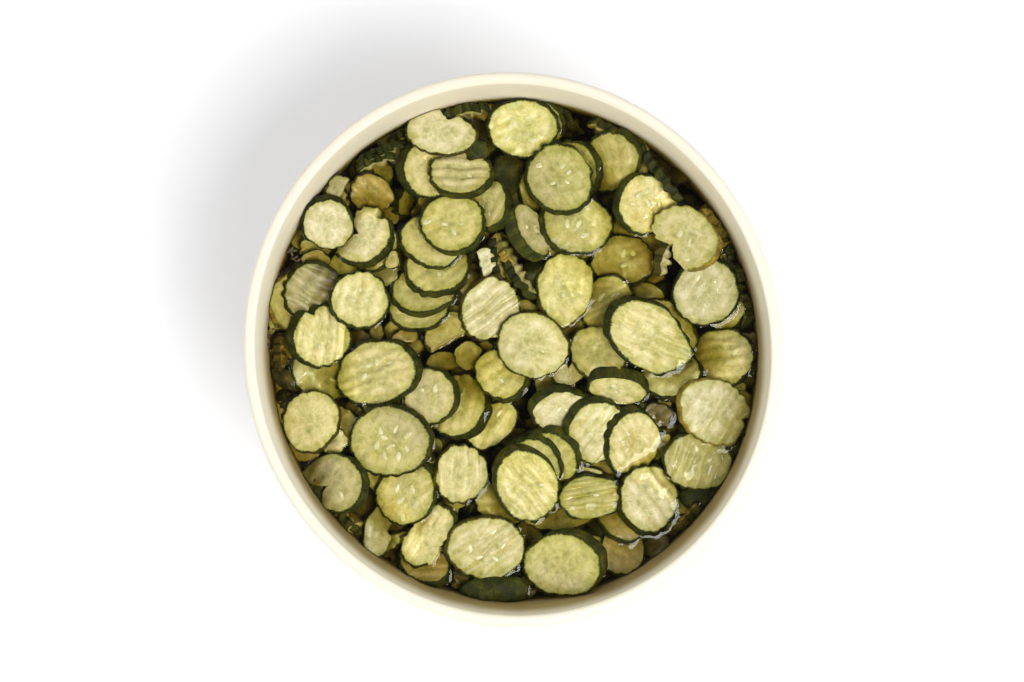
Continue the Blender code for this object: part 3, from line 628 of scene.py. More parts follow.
def spin(model, profile, unit, segments, merge):
    """Revolves a section about Z. It has no side on the axis."""
    corners = [model.verts.new((radius * unit, 0.0, height * unit)) for radius, height in profile]
    sides = zip(corners, corners[1:] + corners[:1])
    edges = [model.edges.new(pair) for pair in sides if pair[0].co.x + pair[1].co.x > 0.0]
    bmesh.ops.spin(
        model, geom=corners + edges, cent=(0, 0, 0), axis=(0, 0, 1), dvec=(0, 0, 0),
        angle=2.0 * math.pi, steps=segments, use_merge=True, use_duplicate=False)
    bmesh.ops.remove_doubles(model, verts=model.verts, dist=merge)
    bmesh.ops.recalc_face_normals(model, faces=model.faces)


def spin_oval(model, profile, segments):
    """Revolves a section in millimetres, and makes it as oval as the tub."""
    spin(model, profile, MM, segments, 0.005 * MM)
    for vertex in model.verts:
        factor = oval(vertex.co.z / MM, math.atan2(vertex.co.y, vertex.co.x))
        vertex.co.x *= factor
        vertex.co.y *= factor


def arc(middle, radius, start, end, count):
    """Points on an arc of a profile. Degrees."""
    points = []
    for step in range(count + 1):
        angle = math.radians(start + (end - start) * step / count)
        points.append((middle[0] + radius * math.cos(angle), middle[1] + radius * math.sin(angle)))
    return points


def tub_profile():
    """The wall's section, from the rim's crown down the outside and back up the inside."""
    outer = RIM_INNER_RADIUS + RIM_WIDTH
    under_rim = TUB_HEIGHT - RIM_DEPTH
    wall_at_rim = RIM_INNER_RADIUS + WALL - RIM_DEPTH * DRAFT
    foot_wall = RIM_INNER_RADIUS + WALL - (TUB_HEIGHT - 7.0) * DRAFT
    floor_edge = RIM_INNER_RADIUS - (TUB_HEIGHT - FLOOR_TOP - 5.0) * DRAFT
    foot_inner = FOOT_OUTER_RADIUS - FOOT_WIDTH
    profile = arc((outer - 2.8, TUB_HEIGHT - 2.8), 2.8, 90, 0, 8)
    profile += arc((outer - 0.8, under_rim + 0.8), 0.8, 0, -90, 3)
    profile += [(wall_at_rim + 0.6, under_rim), (wall_at_rim, under_rim - 0.8)]
    profile += [(foot_wall + 20.0 * DRAFT, 27.0)]
    profile += arc((foot_wall - 5.0, 6.0), 5.0, 0, -80, 6)
    profile += [(FOOT_OUTER_RADIUS, 0.3), (FOOT_OUTER_RADIUS - 0.3, 0.0)]
    profile += [(foot_inner + 0.3, 0.0), (foot_inner, 0.3), (foot_inner - 0.8, FOOT_DEPTH)]
    profile += [(7.0, FOOT_DEPTH), (6.6, FOOT_DEPTH - 0.5), (2.2, FOOT_DEPTH - 0.5)]
    profile += [(1.8, FOOT_DEPTH - 1.1), (0.0, FOOT_DEPTH - 1.1), (0.0, FLOOR_TOP)]
    profile += arc((floor_edge - 5.0, FLOOR_TOP + 5.0), 5.0, -90, 0, 6)
    profile += [(RIM_INNER_RADIUS - 2.4 * DRAFT, TUB_HEIGHT - 2.4)]
    profile += arc((RIM_INNER_RADIUS + 2.2, TUB_HEIGHT - 2.2), 2.2, 180, 90, 6)
    return profile


def edge_factor(chip, angle):
    """How far the edge lies out in a direction, and how much of it is missing. Degrees."""
    phase = chip.x * 7.0 + chip.y * 3.0
    whole = 1.0 + 0.018 * np.sin(np.radians(3.0 * angle + phase))
    for waves, height in ((5.0, 0.012), (8.0, 0.008), (13.0, 0.005)):
        whole += height * np.sin(np.radians(waves * angle + waves * phase))

    def beside(shift):
        return (angle - (chip.at - chip.turn) + shift + 180.0) % 360.0 - 180.0

    factor = whole.copy()
    if CUTS[chip.cut]:
        factor *= 1.0 + sum(
            depth * np.exp(-(beside(shift) / width) ** 2) for depth, shift, width in CUTS[chip.cut])
    if chip.cut == "half":
        factor = np.minimum(factor, HALF_LEFT / np.maximum(np.cos(np.radians(beside(0.0))), 0.01))
    missing = 1.0 - factor / whole
    torn = np.clip(missing * 6.0, 0.0, 1.0)
    for waves, height in ((17.0, 0.05), (29.0, 0.03)):
        factor = factor * (1.0 + height * torn * np.sin(np.radians(waves * angle + phase)))
    return factor, missing


def slope_height(chip, x, y):
    """Height of the leaning slice's middle plane above its own middle."""
    rise = math.radians(chip.rise)
    return math.tan(math.radians(chip.lean)) * (x * math.cos(rise) + y * math.sin(rise))


def half_height(chip):
    """Half of a leaning slice's thickness, measured upright."""
    return 0.5 * CHIP_THICKNESS / math.cos(math.radians(chip.lean))


def inside_cells(chip):
    """Which cells of the height map a lying slice covers."""
    turn = math.radians(chip.turn)
    dx = GRID_X - chip.x
    dy = GRID_Y - chip.y
    along = (dx * math.cos(turn) + dy * math.sin(turn)) / (0.5 * chip.long)
    across = (dy * math.cos(turn) - dx * math.sin(turn)) / (0.5 * chip.wide)
    factor, _ = edge_factor(chip, np.degrees(np.arctan2(across, along)))
    return np.hypot(along, across) <= factor


def floating_height(chip):
    """Height of an uncovered slice's middle: flat ones float, leaning ones dip their low edge."""
    turned = math.radians(chip.rise - chip.turn)
    reach = math.hypot(chip.long * math.cos(turned), chip.wide * math.sin(turned))
    share = min(1.0, chip.lean / STEADY_LEAN)
    low_top = FLAT_TOP + share * (LOW_EDGE_TOP - FLAT_TOP)
    low_rise = share * 0.5 * reach * math.tan(math.radians(chip.lean))
    return BRINE_LEVEL + low_top + low_rise - 0.5 * CHIP_THICKNESS


def bend_map(need):
    """Spreads a push over its surroundings, so that a slice bends and doesn't kink."""
    sag = need.copy()
    for _ in range(BEND_REACH):
        for step, axis in NEIGHBOURS:
            sag = np.maximum(sag, np.roll(sag, step, axis) - BEND_SLOPE * CELL)
    return sag


def settle(chips, depths):
    """Middle height and bend map of each slice, and which slice is uppermost in each cell.

    The top slice is laid first. A covered one gives way, partly as a whole and partly by bending.
    """
    ceiling = np.full(GRID_X.shape, 1000.0)
    owner = np.full(GRID_X.shape, -1)
    laid = []
    for index in reversed(range(len(chips))):
        chip = chips[index]
        covered = inside_cells(chip)
        slope = slope_height(chip, GRID_X - chip.x, GRID_Y - chip.y)
        half = half_height(chip)
        middle = floating_height(chip) - depths[index]
        need = np.where(covered, np.maximum(middle + slope + half - ceiling, 0.0), 0.0)
        drop = STIFF_SHARE * need.max()
        middle -= drop
        sag = bend_map(np.maximum(need - drop, 0.0))
        under = middle + slope - sag - half - LAYER_GAP
        ceiling = np.where(covered, np.minimum(ceiling, under), ceiling)
        owner = np.where(covered & (owner < 0), index, owner)
        laid.append((middle, sag))
    return laid[::-1], owner


def map_value(heights, x, y):
    """Reads a map between its cells."""
    last = heights.shape[0] - 2
    column = np.clip((x + MAP_REACH) / CELL, 0.0, last)
    row = np.clip((y + MAP_REACH) / CELL, 0.0, last)
    left = column.astype(int)
    low = row.astype(int)
    right_share = column - left
    high_share = row - low
    lower = heights[low, left] * (1.0 - right_share) + heights[low, left + 1] * right_share
    upper = heights[low + 1, left] * (1.0 - right_share) + heights[low + 1, left + 1] * right_share
    return lower * (1.0 - high_share) + upper * high_share


def slice_blank(rings, segments, under_rings):
    """A round slice of radius 1 from z 1 to z -1, with a rounded edge, spun from half a section."""
    last = 0.955
    profile = [(last * step / rings, 1.0) for step in range(rings + 1)]
    profile += [(0.985, 0.90), (1.0, 0.62), (1.0, 0.0), (1.0, -0.62), (0.985, -0.90)]
    profile += [(last * step / under_rings, -1.0) for step in reversed(range(under_rings + 1))]
    model = bmesh.new()
    spin(model, profile, 1.0, segments, 0.0001)
    mesh = bpy.data.meshes.new("slice_blank")
    model.to_mesh(mesh)
    model.free()
    return mesh


def wall_limit(points):
    """Distance of each point from the tub's axis, and how far out it may lie."""
    angle = np.arctan2(points[:, 1], points[:, 0])
    return np.hypot(points[:, 0], points[:, 1]), wall_radius(points[:, 2], angle) - CHIP_GAP


def keep_in_tub(points, share):
    """Moves a slice off the wall, and presses what still crosses it against the wall."""
    middle = points.mean(axis=0)
    angle = math.atan2(middle[1], middle[0])
    radius, limit = wall_limit(points)
    excess = max(0.0, (radius - limit).max())
    points[:, 0] -= math.cos(angle) * excess * share
    points[:, 1] -= math.sin(angle) * excess * share
    radius, limit = wall_limit(points)
    points[:, :2] *= np.minimum(1.0, limit / np.maximum(radius, 0.001))[:, None]


def plane_axes(chip):
    """Unit vectors of a leaning slice: its uphill direction from above, and its normal."""
    rise = math.radians(chip.rise)
    lean = math.radians(chip.lean)
    uphill = np.array((math.cos(rise), math.sin(rise), 0.0))
    normal = np.array((0.0, 0.0, math.cos(lean))) - math.sin(lean) * uphill
    return uphill, normal


def ridge_wave(chip, x, y):
    """The crinkle at a place of the slice, how strong it is, and the place in the slice's own plane."""
    rise = math.radians(chip.rise)
    lean = math.radians(chip.lean)
    own_x = (x * math.cos(rise) + y * math.sin(rise)) / math.cos(lean)
    own_y = y * math.cos(rise) - x * math.sin(rise)
    turned = math.radians(chip.ridge - chip.rise)
    run_x = math.cos(turned) / math.cos(lean)
    run_y = math.sin(turned)
    length = math.hypot(run_x, run_y)
    across = (own_y * run_x - own_x * run_y) / length
    pitch = bpy.context.scene.pickle_looks.ridge_pitch / MM
    phase = chip.x * 1.7 + chip.y
    drift = 0.9 * np.sin(across * 0.23 + phase) + 0.55 * np.sin(own_x * 0.27 + own_y * 0.19 + phase)
    around = 2.0 * math.pi * across / pitch + phase + drift
    wave = np.sin(around) + 0.15 * np.sin(2.0 * around + 1.0)
    usual = 0.18 + 0.36 * math.sin(chip.x * 1.3 + chip.y * 0.7) ** 2
    strength = STRONG_RIDGES.get((chip.x, chip.y), usual)
    if chip.lean > STEEP_LEAN:
        strength = EDGE_ON_RIDGES
    strength = strength * (1.0 + 0.35 * np.sin(own_x * 0.21 - own_y * 0.26 + 2.0 * phase))
    return wave, strength, own_x, own_y


def unevenness(chip, share, own_x, own_y):
    """How far a slice bows and undulates out of its plane."""
    phase = chip.x * 3.1 + chip.y * 1.3
    undulation = np.sin(own_x * 0.47 + phase) * np.cos(own_y * 0.39 + 2.0 * phase)
    return 0.9 * math.sin(phase) * share ** 2 + 0.35 * undulation


def slice_points(chip, blank_points, middle, sag, shift):
    """Every point of a slice in millimetres, with its place in the slice's own plane."""
    share = np.hypot(blank_points[:, 0], blank_points[:, 1])
    angle = np.degrees(np.arctan2(blank_points[:, 1], blank_points[:, 0]))
    side = blank_points[:, 2]
    factor, missing = edge_factor(chip, angle)
    turn = math.radians(chip.turn)
    along = 0.5 * chip.long * factor * blank_points[:, 0]
    across = 0.5 * chip.wide * factor * blank_points[:, 1]
    x = along * math.cos(turn) - across * math.sin(turn)
    y = along * math.sin(turn) + across * math.cos(turn)
    uphill, normal = plane_axes(chip)
    crest, strength, own_x, own_y = ridge_wave(chip, x, y)
    teeth = SCALLOP * crest * np.clip(strength, 0.45, 0.85) * share ** 5 * (0.65 + 0.35 * side)
    scallop = 1.0 + teeth / np.maximum(np.hypot(x, y), 1.0)
    x *= scallop
    y *= scallop
    wave = crest * strength * bpy.context.scene.pickle_looks.ridge_height / MM
    bow = unevenness(chip, share, own_x, own_y)
    if chip.flesh == "skin":
        # The rounded end of a cucumber, with its peel up
        wave *= 0.3
        bow += 1.6 * (1.0 - share ** 2) * (side + 1.0)
    points = np.stack((chip.x + x, chip.y + y, middle + slope_height(chip, x, y)), axis=1)
    if sag is not None:
        points[:, 2] -= map_value(sag, points[:, 0], points[:, 1])
    if chip.lean <= STEEP_LEAN:
        slant = CUT_SLANT * CHIP_THICKNESS * math.tan(math.radians(chip.lean))
        points += np.outer(0.5 * (1.0 - side) * slant, uphill)
    points += np.outer(wave + bow + side * 0.5 * CHIP_THICKNESS, normal)
    keep_in_tub(points, shift)
    return points, share, missing, crest * strength, np.stack((own_x, own_y), axis=1)


def tinted(colour, draw, spread):
    """A colour with a little of its own variation, linear."""
    light = 1.0 + draw.uniform(-spread, spread)
    warm = draw.uniform(-0.35, 0.35) * spread
    red, green, blue = linear(colour)
    return (red * light * (1.0 + warm), green * light, blue * light * (1.0 - 2.0 * warm), 1.0)


def vertex_places(mesh):
    """Every point of a mesh, as rows of x, y and z."""
    flat = np.empty(len(mesh.vertices) * 3)
    mesh.vertices.foreach_get("co", flat)
    return flat.reshape(-1, 3)


def give_looks(mesh, place, fibre, share, crest, flesh_tone, peel_tone):
    """Keeps what the materials of a slice read as attributes of its points."""
    for name, kind, field, data in (
            ("place", "FLOAT_VECTOR", "vector", place), ("fibre", "FLOAT_VECTOR", "vector", fibre),
            ("share", "FLOAT", "value", share), ("crest", "FLOAT", "value", crest),
            ("flesh_tone", "FLOAT_COLOR", "color", flesh_tone),
            ("peel_tone", "FLOAT_COLOR", "color", peel_tone)):
        values = data.astype(np.float32).ravel()
        mesh.attributes.new(name, kind, "POINT").data.foreach_set(field, values)


def second_tone(chip, points, flesh_tone):
    """Blends another tone over one side of a slice."""
    side, tone = SECOND_TONES[(chip.x, chip.y)]
    side = math.radians(side)
    dx = points[:, 0] - chip.x
    dy = points[:, 1] - chip.y
    along = (dx * math.cos(side) + dy * math.sin(side)) / (0.5 * chip.long)
    along += 0.15 * np.sin(dx * 0.6 - dy * 0.5)
    mix = np.clip(along * 1.4 + 0.2, 0.0, 1.0)[:, None]
    return flesh_tone * (1.0 - mix) + np.array((*linear(FLESH[tone]), 1.0)) * mix


def slice_object(chip, blank, middle, sag, shift, draw):
    """One slice, with its tones and its own plane kept as attributes for its materials."""
    mesh = blank.copy()
    points, share, missing, crest, own = slice_points(chip, vertex_places(mesh), middle, sag, shift)
    mesh.vertices.foreach_set("co", (points * MM).ravel())
    seed = draw.uniform(0.0, 400.0)
    angle = np.arctan2(own[:, 1], own[:, 0])
    bare = (missing > 0.05) & (chip.cut != "nick")
    # How far in the peel ring with its painted edge shade reaches: further at the crests, less for olive and
    # yellow peels.
    rim = 0.032 * crest + 0.012 * np.sin(2.0 * angle + chip.x) - (0.0 if chip.peel == "green" else 0.028)
    flesh_tone = np.tile(tinted(FLESH[chip.flesh], draw, 0.08), (len(points), 1))
    if (chip.x, chip.y) in SECOND_TONES:
        flesh_tone = second_tone(chip, points, flesh_tone)
    give_looks(
        mesh, place=np.column_stack((own + seed, points[:, 2] * 0.6)),
        fibre=np.column_stack((np.cos(angle) * 5.5 + seed, np.sin(angle) * 5.5, share * 1.3)),
        share=np.where(bare, np.minimum(share, 0.8), share + rim), crest=crest, flesh_tone=flesh_tone,
        peel_tone=np.tile(tinted(PEEL[chip.peel], draw, 0.2), (len(points), 1)))
    for material in slice_materials():
        mesh.materials.append(material)
    outside = ((share > 0.98) & ~bare) | (chip.flesh == "skin")
    loops = np.empty(len(mesh.loops), dtype=np.int32)
    mesh.loops.foreach_get("vertex_index", loops)
    starts = np.empty(len(mesh.polygons), dtype=np.int32)
    mesh.polygons.foreach_get("loop_start", starts)
    peel_faces = np.minimum.reduceat(outside[loops].astype(np.int32), starts)
    mesh.polygons.foreach_set("material_index", peel_faces)
    mesh.shade_smooth()
    item = bpy.data.objects.new("slice", mesh)
    bpy.context.scene.collection.objects.link(item)
    return item


def as_lying(piece):
    """A slice on edge in the terms of a lying one, its long side along the wall."""
    return Chip(
        piece.x, piece.y, piece.long, piece.wide, piece.rise - 90.0, piece.rise, piece.rise,
        piece.lean, "", 0, piece.flesh, piece.peel)


def sunken_rows():
    """The slices just below those that show, on a loose grid of their own, by a seeded rule."""
    draw = random.Random(20)
    rows = []
    reach = int(MAP_REACH / SUNKEN_SPACING) + 1
    for column in range(-reach, reach + 1):
        for row in range(-reach, reach + 1):
            x = (column + 0.5 * (row % 2)) * SUNKEN_SPACING + draw.uniform(-5.0, 5.0)
            y = row * SUNKEN_SPACING * 0.87 + draw.uniform(-5.0, 5.0)
            size = draw.uniform(29.0, 37.0)
            wide = size * draw.uniform(0.82, 1.0)
            angles = [draw.uniform(0.0, 360.0) for _ in range(3)]
            flesh = draw.choice(("green", "olive", "grey", "pale"))
            lean = draw.uniform(3.0, 18.0)
            cut = draw.choice(("", "chunk", "notch", "half", "waist"))
            if math.hypot(x, y) < RIM_INNER_RADIUS - 14.0:
                at = draw.uniform(0.0, 360.0)
                rows.append(Chip(x, y, size, wide, *angles, lean, cut, at, flesh, "green"))
    return rows


def fragment_rows():
    """Small slices and torn ones in the gaps between those that show, by a seeded rule."""
    draw = random.Random(31)
    free = np.hypot(GRID_X, GRID_Y) < RIM_INNER_RADIUS - 6.0
    for chip in LYING:
        free &= ~inside_cells(chip)
    rows = []
    for row, column in np.argwhere(free):
        x = GRID_X[row, column] + draw.uniform(-1.0, 1.0)
        y = GRID_Y[row, column] + draw.uniform(-1.0, 1.0)
        if all(math.hypot(x - other.x, y - other.y) > FRAGMENT_SPACING for other in rows):
            size = draw.uniform(11.0, 24.0)
            wide = size * draw.uniform(0.45, 0.9)
            angles = [draw.uniform(0.0, 360.0) for _ in range(3)]
            cut = draw.choice(("", "chunk", "notch", "half", "waist", "spike"))
            tones = ("green", "olive", "grey", "pale", "skin")
            if math.hypot(x, y) > 104.0:
                tones = ("brown", "dark", "skin", "olive")
            flesh = draw.choice(tones)
            peel = draw.choice(("green", "green", "olive"))
            lean = draw.uniform(8.0, 40.0)
            at = draw.uniform(0.0, 360.0)
            rows.append(Chip(x, y, size, wide, *angles, lean, cut, at, flesh, peel))
    draw.shuffle(rows)
    return rows


@functools.cache
def settled():
    """All lying slices, lowest first, with how each has settled, and where each group starts."""
    sunken = sunken_rows()
    fragments = fragment_rows()
    chips = sunken + fragments + LYING
    depths = [SUNKEN_DEPTH] * len(sunken)
    depths += [FRAGMENT_DEPTH + 0.5 * chip.long * math.tan(math.radians(chip.lean)) for chip in fragments]
    depths += [0.0] * len(LYING)
    laid, owner = settle(chips, depths)
    return chips, laid, owner, (len(sunken), len(sunken) + len(fragments))


def slice_materials():
    """The materials of all slices: flesh first, then peel."""
    names = ("brined cucumber flesh", "brined cucumber peel")
    if names[0] not in bpy.data.materials:
        flesh_material()
        peel_material()
    return [bpy.data.materials[name] for name in names]


def top_height(chip, laid, x, y):
    """Height of a slice's upper face at a place seen from above."""
    middle, sag = laid
    dx = np.array([x - chip.x])
    dy = np.array([y - chip.y])
    crest, strength, own_x, own_y = ridge_wave(chip, dx, dy)
    wave = crest * strength * bpy.context.scene.pickle_looks.ridge_height / MM
    share = np.hypot(dx, dy) / (0.25 * (chip.long + chip.wide))
    wave += unevenness(chip, share, own_x, own_y)
    bend = map_value(sag, np.array([float(x)]), np.array([float(y)]))
    return float((middle + slope_height(chip, dx, dy) + half_height(chip) + wave - bend)[0])


def owner_of(owner, x, y):
    """Number of the slice that is uppermost at a place."""
    column = int(round((x + MAP_REACH) / CELL))
    row = int(round((y + MAP_REACH) / CELL))
    return owner[row, column]


def solid_top():
    """Map of the highest face of any lying slice."""
    chips, laid, owner, _ = settled()
    top = np.full(GRID_X.shape, CORE_LEVEL)
    for index in np.unique(owner[owner >= 0]):
        chip = chips[index]
        middle, sag = laid[index]
        height = middle + slope_height(chip, GRID_X - chip.x, GRID_Y - chip.y) + half_height(chip) - sag
        top = np.where(owner == index, height, top)
    return top


def brine_edge(vertex):
    """Radius of the wall at the brine's surface, towards a point. Metres."""
    return float(wall_radius(BRINE_SURFACE, math.atan2(vertex.co.y, vertex.co.x))) * MM


def brine_surface(model):
    """The face of the brine out to the wall, drawn up at slices that stand clear of it and at the wall."""
    uneven = 0.5 * np.sin(GRID_X * 0.55 + 1.5 * np.sin(GRID_Y * 0.4)) * np.cos(GRID_Y * 0.6)
    pull = np.where(solid_top() > BRINE_SURFACE + 0.3 + uneven, 1.0, 0.0)
    for _ in range(MENISCUS_STEPS):
        for step, axis in NEIGHBOURS:
            pull = np.maximum(pull, np.roll(pull, step, axis) * math.exp(-CELL / MENISCUS_WIDTH))
    cells = int(2.0 * MAP_REACH / BRINE_CELL)
    bmesh.ops.create_grid(model, x_segments=cells, y_segments=cells, size=0.5 * cells * BRINE_CELL * MM)
    outside = [
        vertex for vertex in model.verts
        if math.hypot(vertex.co.x, vertex.co.y) > brine_edge(vertex) + (BRINE_REACH - 0.4 * BRINE_CELL) * MM]
    bmesh.ops.delete(model, geom=outside, context="VERTS")
    loose = [vertex for vertex in model.verts if not vertex.link_faces]
    bmesh.ops.delete(model, geom=loose, context="VERTS")
    flat = np.array([vertex.co[:2] for vertex in model.verts]) / MM
    drawn = map_value(pull, flat[:, 0], flat[:, 1])
    for vertex, (x, y), share in zip(model.verts, flat, drawn):
        gap = brine_edge(vertex) / MM - math.hypot(x, y)
        at_wall = math.exp(-max(0.0, gap) / MENISCUS_WIDTH)
        rise = MENISCUS_RISE * max(share, at_wall)
        vertex.co.z = (BRINE_SURFACE + rise) * MM


def brine_below(model):
    """Closes the brine from its surface down, just inside the wall."""
    rim = [edge for edge in model.edges if edge.is_boundary]
    for vertex in {vertex for edge in rim for vertex in edge.verts}:
        factor = (brine_edge(vertex) + BRINE_REACH * MM) / math.hypot(vertex.co.x, vertex.co.y)
        vertex.co.x *= factor
        vertex.co.y *= factor
    skirt = bmesh.ops.extrude_edge_only(model, edges=rim)["geom"]
    for vertex in (item for item in skirt if isinstance(item, bmesh.types.BMVert)):
        angle = math.atan2(vertex.co.y, vertex.co.x)
        radius = float(wall_radius(BRINE_SKIRT, angle)) + 0.5 * BRINE_REACH
        vertex.co = Vector((radius * math.cos(angle), radius * math.sin(angle), BRINE_SKIRT)) * MM
    bottom = [item for item in skirt if isinstance(item, bmesh.types.BMEdge)]
    base = bmesh.ops.extrude_edge_only(model, edges=bottom)["geom"]
    for vertex in (item for item in base if isinstance(item, bmesh.types.BMVert)):
        vertex.co.x *= BRINE_TAPER
        vertex.co.y *= BRINE_TAPER
        vertex.co.z = BRINE_FLOOR * MM
    lowest = [item for item in base if isinstance(item, bmesh.types.BMEdge)]
    bmesh.ops.contextual_create(model, geom=lowest)
    bmesh.ops.recalc_face_normals(model, faces=model.faces)
    if model.calc_volume(signed=True) < 0.0:
        bmesh.ops.reverse_faces(model, faces=model.faces)


# Sizes and colours

class PickleLooks(bpy.types.PropertyGroup):
    ridge_pitch: bpy.props.FloatProperty(
        name="Ridge pitch", description="Distance between the crinkles of a slice",
        default=0.0056, min=0.003, max=0.012, unit="LENGTH")
    ridge_height: bpy.props.FloatProperty(
        name="Ridge height", description="How far a crinkle stands above the slice's middle line",
        default=0.00045, min=0.0, max=0.002, unit="LENGTH")
    seed_length: bpy.props.FloatProperty(
        name="Seed length", description="Length of a seed that shows",
        default=0.0052, min=0.002, max=0.010, unit="LENGTH")
    tub_colour: bpy.props.StringProperty(
        name="Tub colour", description="sRGB hex colour of the tub's plastic", default="#ded8c5")


class BrineLooks(bpy.types.PropertyGroup):
    colour: bpy.props.FloatVectorProperty(
        name="Brine colour", description="What the brine lets through",
        default=(0.60, 0.55, 0.06), min=0.0, max=1.0, size=3, subtype="COLOR")
    density: bpy.props.FloatProperty(
        name="Brine density", description="How fast the brine darkens with depth, per metre",
        default=200.0, min=0.0, max=1000.0)


# Pieces

class PICKLES_OT_tub(bpy.types.Operator):
    """Makes the moulded tub in place of its solid"""
    bl_idname = "pickles.tub"
    bl_label = "Tub"

    def execute(self, context):
        model = bmesh.new()
        spin_oval(model, tub_profile(), TUB_SEGMENTS)
        colour = context.scene.pickle_looks.tub_colour
        tub = to_object("tub_moulding", model, tub_material("moulded polyethylene", colour, False), 50.0)
        # The inner wall's material: a brine stain that is partly painted shade.
        tub.data.materials.append(tub_material("polyethylene wet with brine", colour, True))
        for face in tub.data.polygons:
            inward = face.normal.x * face.center.x + face.normal.y * face.center.y < 0.0
            if inward and face.center.z > FLOOR_TOP * MM:
                face.material_index = 1
        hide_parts("tub")
        return {"FINISHED"}


class PICKLES_OT_standing_slices(bpy.types.Operator):
    """Makes the slices that stand on edge along the wall and in the gaps"""
    bl_idname = "pickles.standing_slices"
    bl_label = "Standing slices"

    def execute(self, context):
        draw = random.Random(7)
        blank = slice_blank(14, 84, 8)
        items = []
        for piece in STANDING:
            half_rise = 0.5 * piece.wide * math.tan(math.radians(piece.lean))
            middle = BRINE_LEVEL + piece.top - min(half_rise, STANDING_DEPTH)
            items.append(slice_object(as_lying(piece), blank, middle, None, STANDING_SHIFT, draw))
        slices = join("standing_slices", items)
        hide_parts("pickles")
        return {"FINISHED"}


class PICKLES_OT_lying_slices(bpy.types.Operator):
    """Makes the slices that lie at the top, in groups from the lowest up"""
    bl_idname = "pickles.lying_slices"
    bl_label = "Lying slices"

    def execute(self, context):
        draw = random.Random(11)
        blank = slice_blank(15, 84, 7)
        chips, laid, _, (_, first) = settled()
        items = [
            slice_object(chip, blank, *place, LYING_SHIFT, draw)
            for chip, place in zip(chips[first:], laid[first:])]
        for start in range(0, len(items), GROUP_SIZE):
            slices = join("lying_slices_%d" % (start // GROUP_SIZE + 1), items[start:start + GROUP_SIZE])
            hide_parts("pickles")
        return {"FINISHED"}


class PICKLES_OT_sunken_slices(bpy.types.Operator):
    """Makes the slices and fragments under the brine that show dimly in the gaps"""
    bl_idname = "pickles.sunken_slices"
    bl_label = "Sunken slices"

    def execute(self, context):
        draw = random.Random(13)
        chips, laid, owner, (fragments, first) = settled()
        groups = (
            ("sunken_slices", range(fragments), slice_blank(9, 48, 3)),
            ("fragments", range(fragments, first), slice_blank(6, 36, 2)))
        for name, numbers, blank in groups:
            slices = join(name, [
                slice_object(chips[index], blank, *laid[index], LYING_SHIFT, draw)
                for index in numbers if np.count_nonzero(owner == index) > HIDDEN_CELLS])
        return {"FINISHED"}


class PICKLES_OT_packed_slices(bpy.types.Operator):
    """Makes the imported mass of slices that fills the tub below"""
    bl_idname = "pickles.packed_slices"
    bl_label = "Packed slices"

    def execute(self, context):
        edge = RIM_INNER_RADIUS - (TUB_HEIGHT - FLOOR_TOP - 7.0) * DRAFT - CHIP_GAP
        top_edge = RIM_INNER_RADIUS - (TUB_HEIGHT - CORE_LEVEL) * DRAFT - CHIP_GAP
        profile = [(top_edge * step / 30.0, CORE_LEVEL) for step in range(31)]
        profile += [(edge, FLOOR_TOP + 7.0), (edge - 6.5, FLOOR_TOP + CHIP_GAP), (0.0, FLOOR_TOP + CHIP_GAP)]
        model = bmesh.new()
        spin_oval(model, profile, 96)
        for vertex in model.verts:
            x, y, z = vertex.co / MM
            if z > CORE_LEVEL - 0.1 and math.hypot(x, y) < top_edge * 0.98:
                across = math.sin(x * 0.31 + 2.0 * math.sin(y * 0.11))
                vertex.co.z += 2.2 * MM * across * math.sin(y * 0.27 + 1.5 * math.sin(x * 0.13))
        core = to_object("packed_slices", model, slice_materials()[0])
        place = vertex_places(core.data) / MM
        count = len(place)
        give_looks(
            core.data, place=place, fibre=place * 0.2, share=np.full(count, 0.7), crest=np.zeros(count),
            flesh_tone=np.tile((*linear(FLESH["olive"]), 1.0), (count, 1)),
            peel_tone=np.tile((*linear(PEEL["green"]), 1.0), (count, 1)))
        return {"FINISHED"}


class PICKLES_OT_seeds(bpy.types.Operator):
    """Sets the seeds that show into the faces of the top slices"""
    bl_idname = "pickles.seeds"
    bl_label = "Seeds"

    def execute(self, context):
        draw = random.Random(5)
        chips, laid, owner, (_, first) = settled()
        half_length = 0.5 * context.scene.pickle_looks.seed_length
        places = [(x, y, turn, 1.0) for x, y, turn in SEEDS]
        for index in range(first + DEEP_ROWS, len(chips)):
            chip = chips[index]
            start = draw.uniform(0.0, 360.0)
            for number in range(draw.choice((0, 0, 1, 2, 3, 4))):
                angle = math.radians(start + number * 75.0 + draw.uniform(-30.0, 30.0))
                reach = draw.uniform(0.10, 0.25) * min(chip.long, chip.wide)
                x = chip.x + reach * math.cos(angle)
                y = chip.y + reach * math.sin(angle)
                if owner_of(owner, x, y) == index:
                    turn = math.degrees(angle) + draw.uniform(-25.0, 25.0)
                    places.append((x, y, turn, draw.uniform(0.6, 0.9)))
        model = bmesh.new()
        for x, y, turn, size in places:
            index = owner_of(owner, x, y)
            if index < first:
                continue
            chip = chips[index]
            height = top_height(chip, laid[index], x, y)
            made = bmesh.ops.create_icosphere(model, subdivisions=2, radius=1.0)
            _, normal = plane_axes(chip)
            up = Vector(normal)
            along = Vector((math.cos(math.radians(turn)), math.sin(math.radians(turn)), 0.0))
            along = (along - up * along.dot(up)).normalized()
            side = up.cross(along)
            middle = Vector((x * MM, y * MM, (height - 0.12) * MM))
            for vertex in made["verts"]:
                a, b, c = vertex.co
                taper = 1.0 - 0.2 * a
                vertex.co = (
                    middle + along * a * half_length * size
                    + side * b * 0.52 * taper * half_length * size + up * c * 0.14 * half_length)
        seeds = to_object("seeds", model, seed_material())
        return {"FINISHED"}


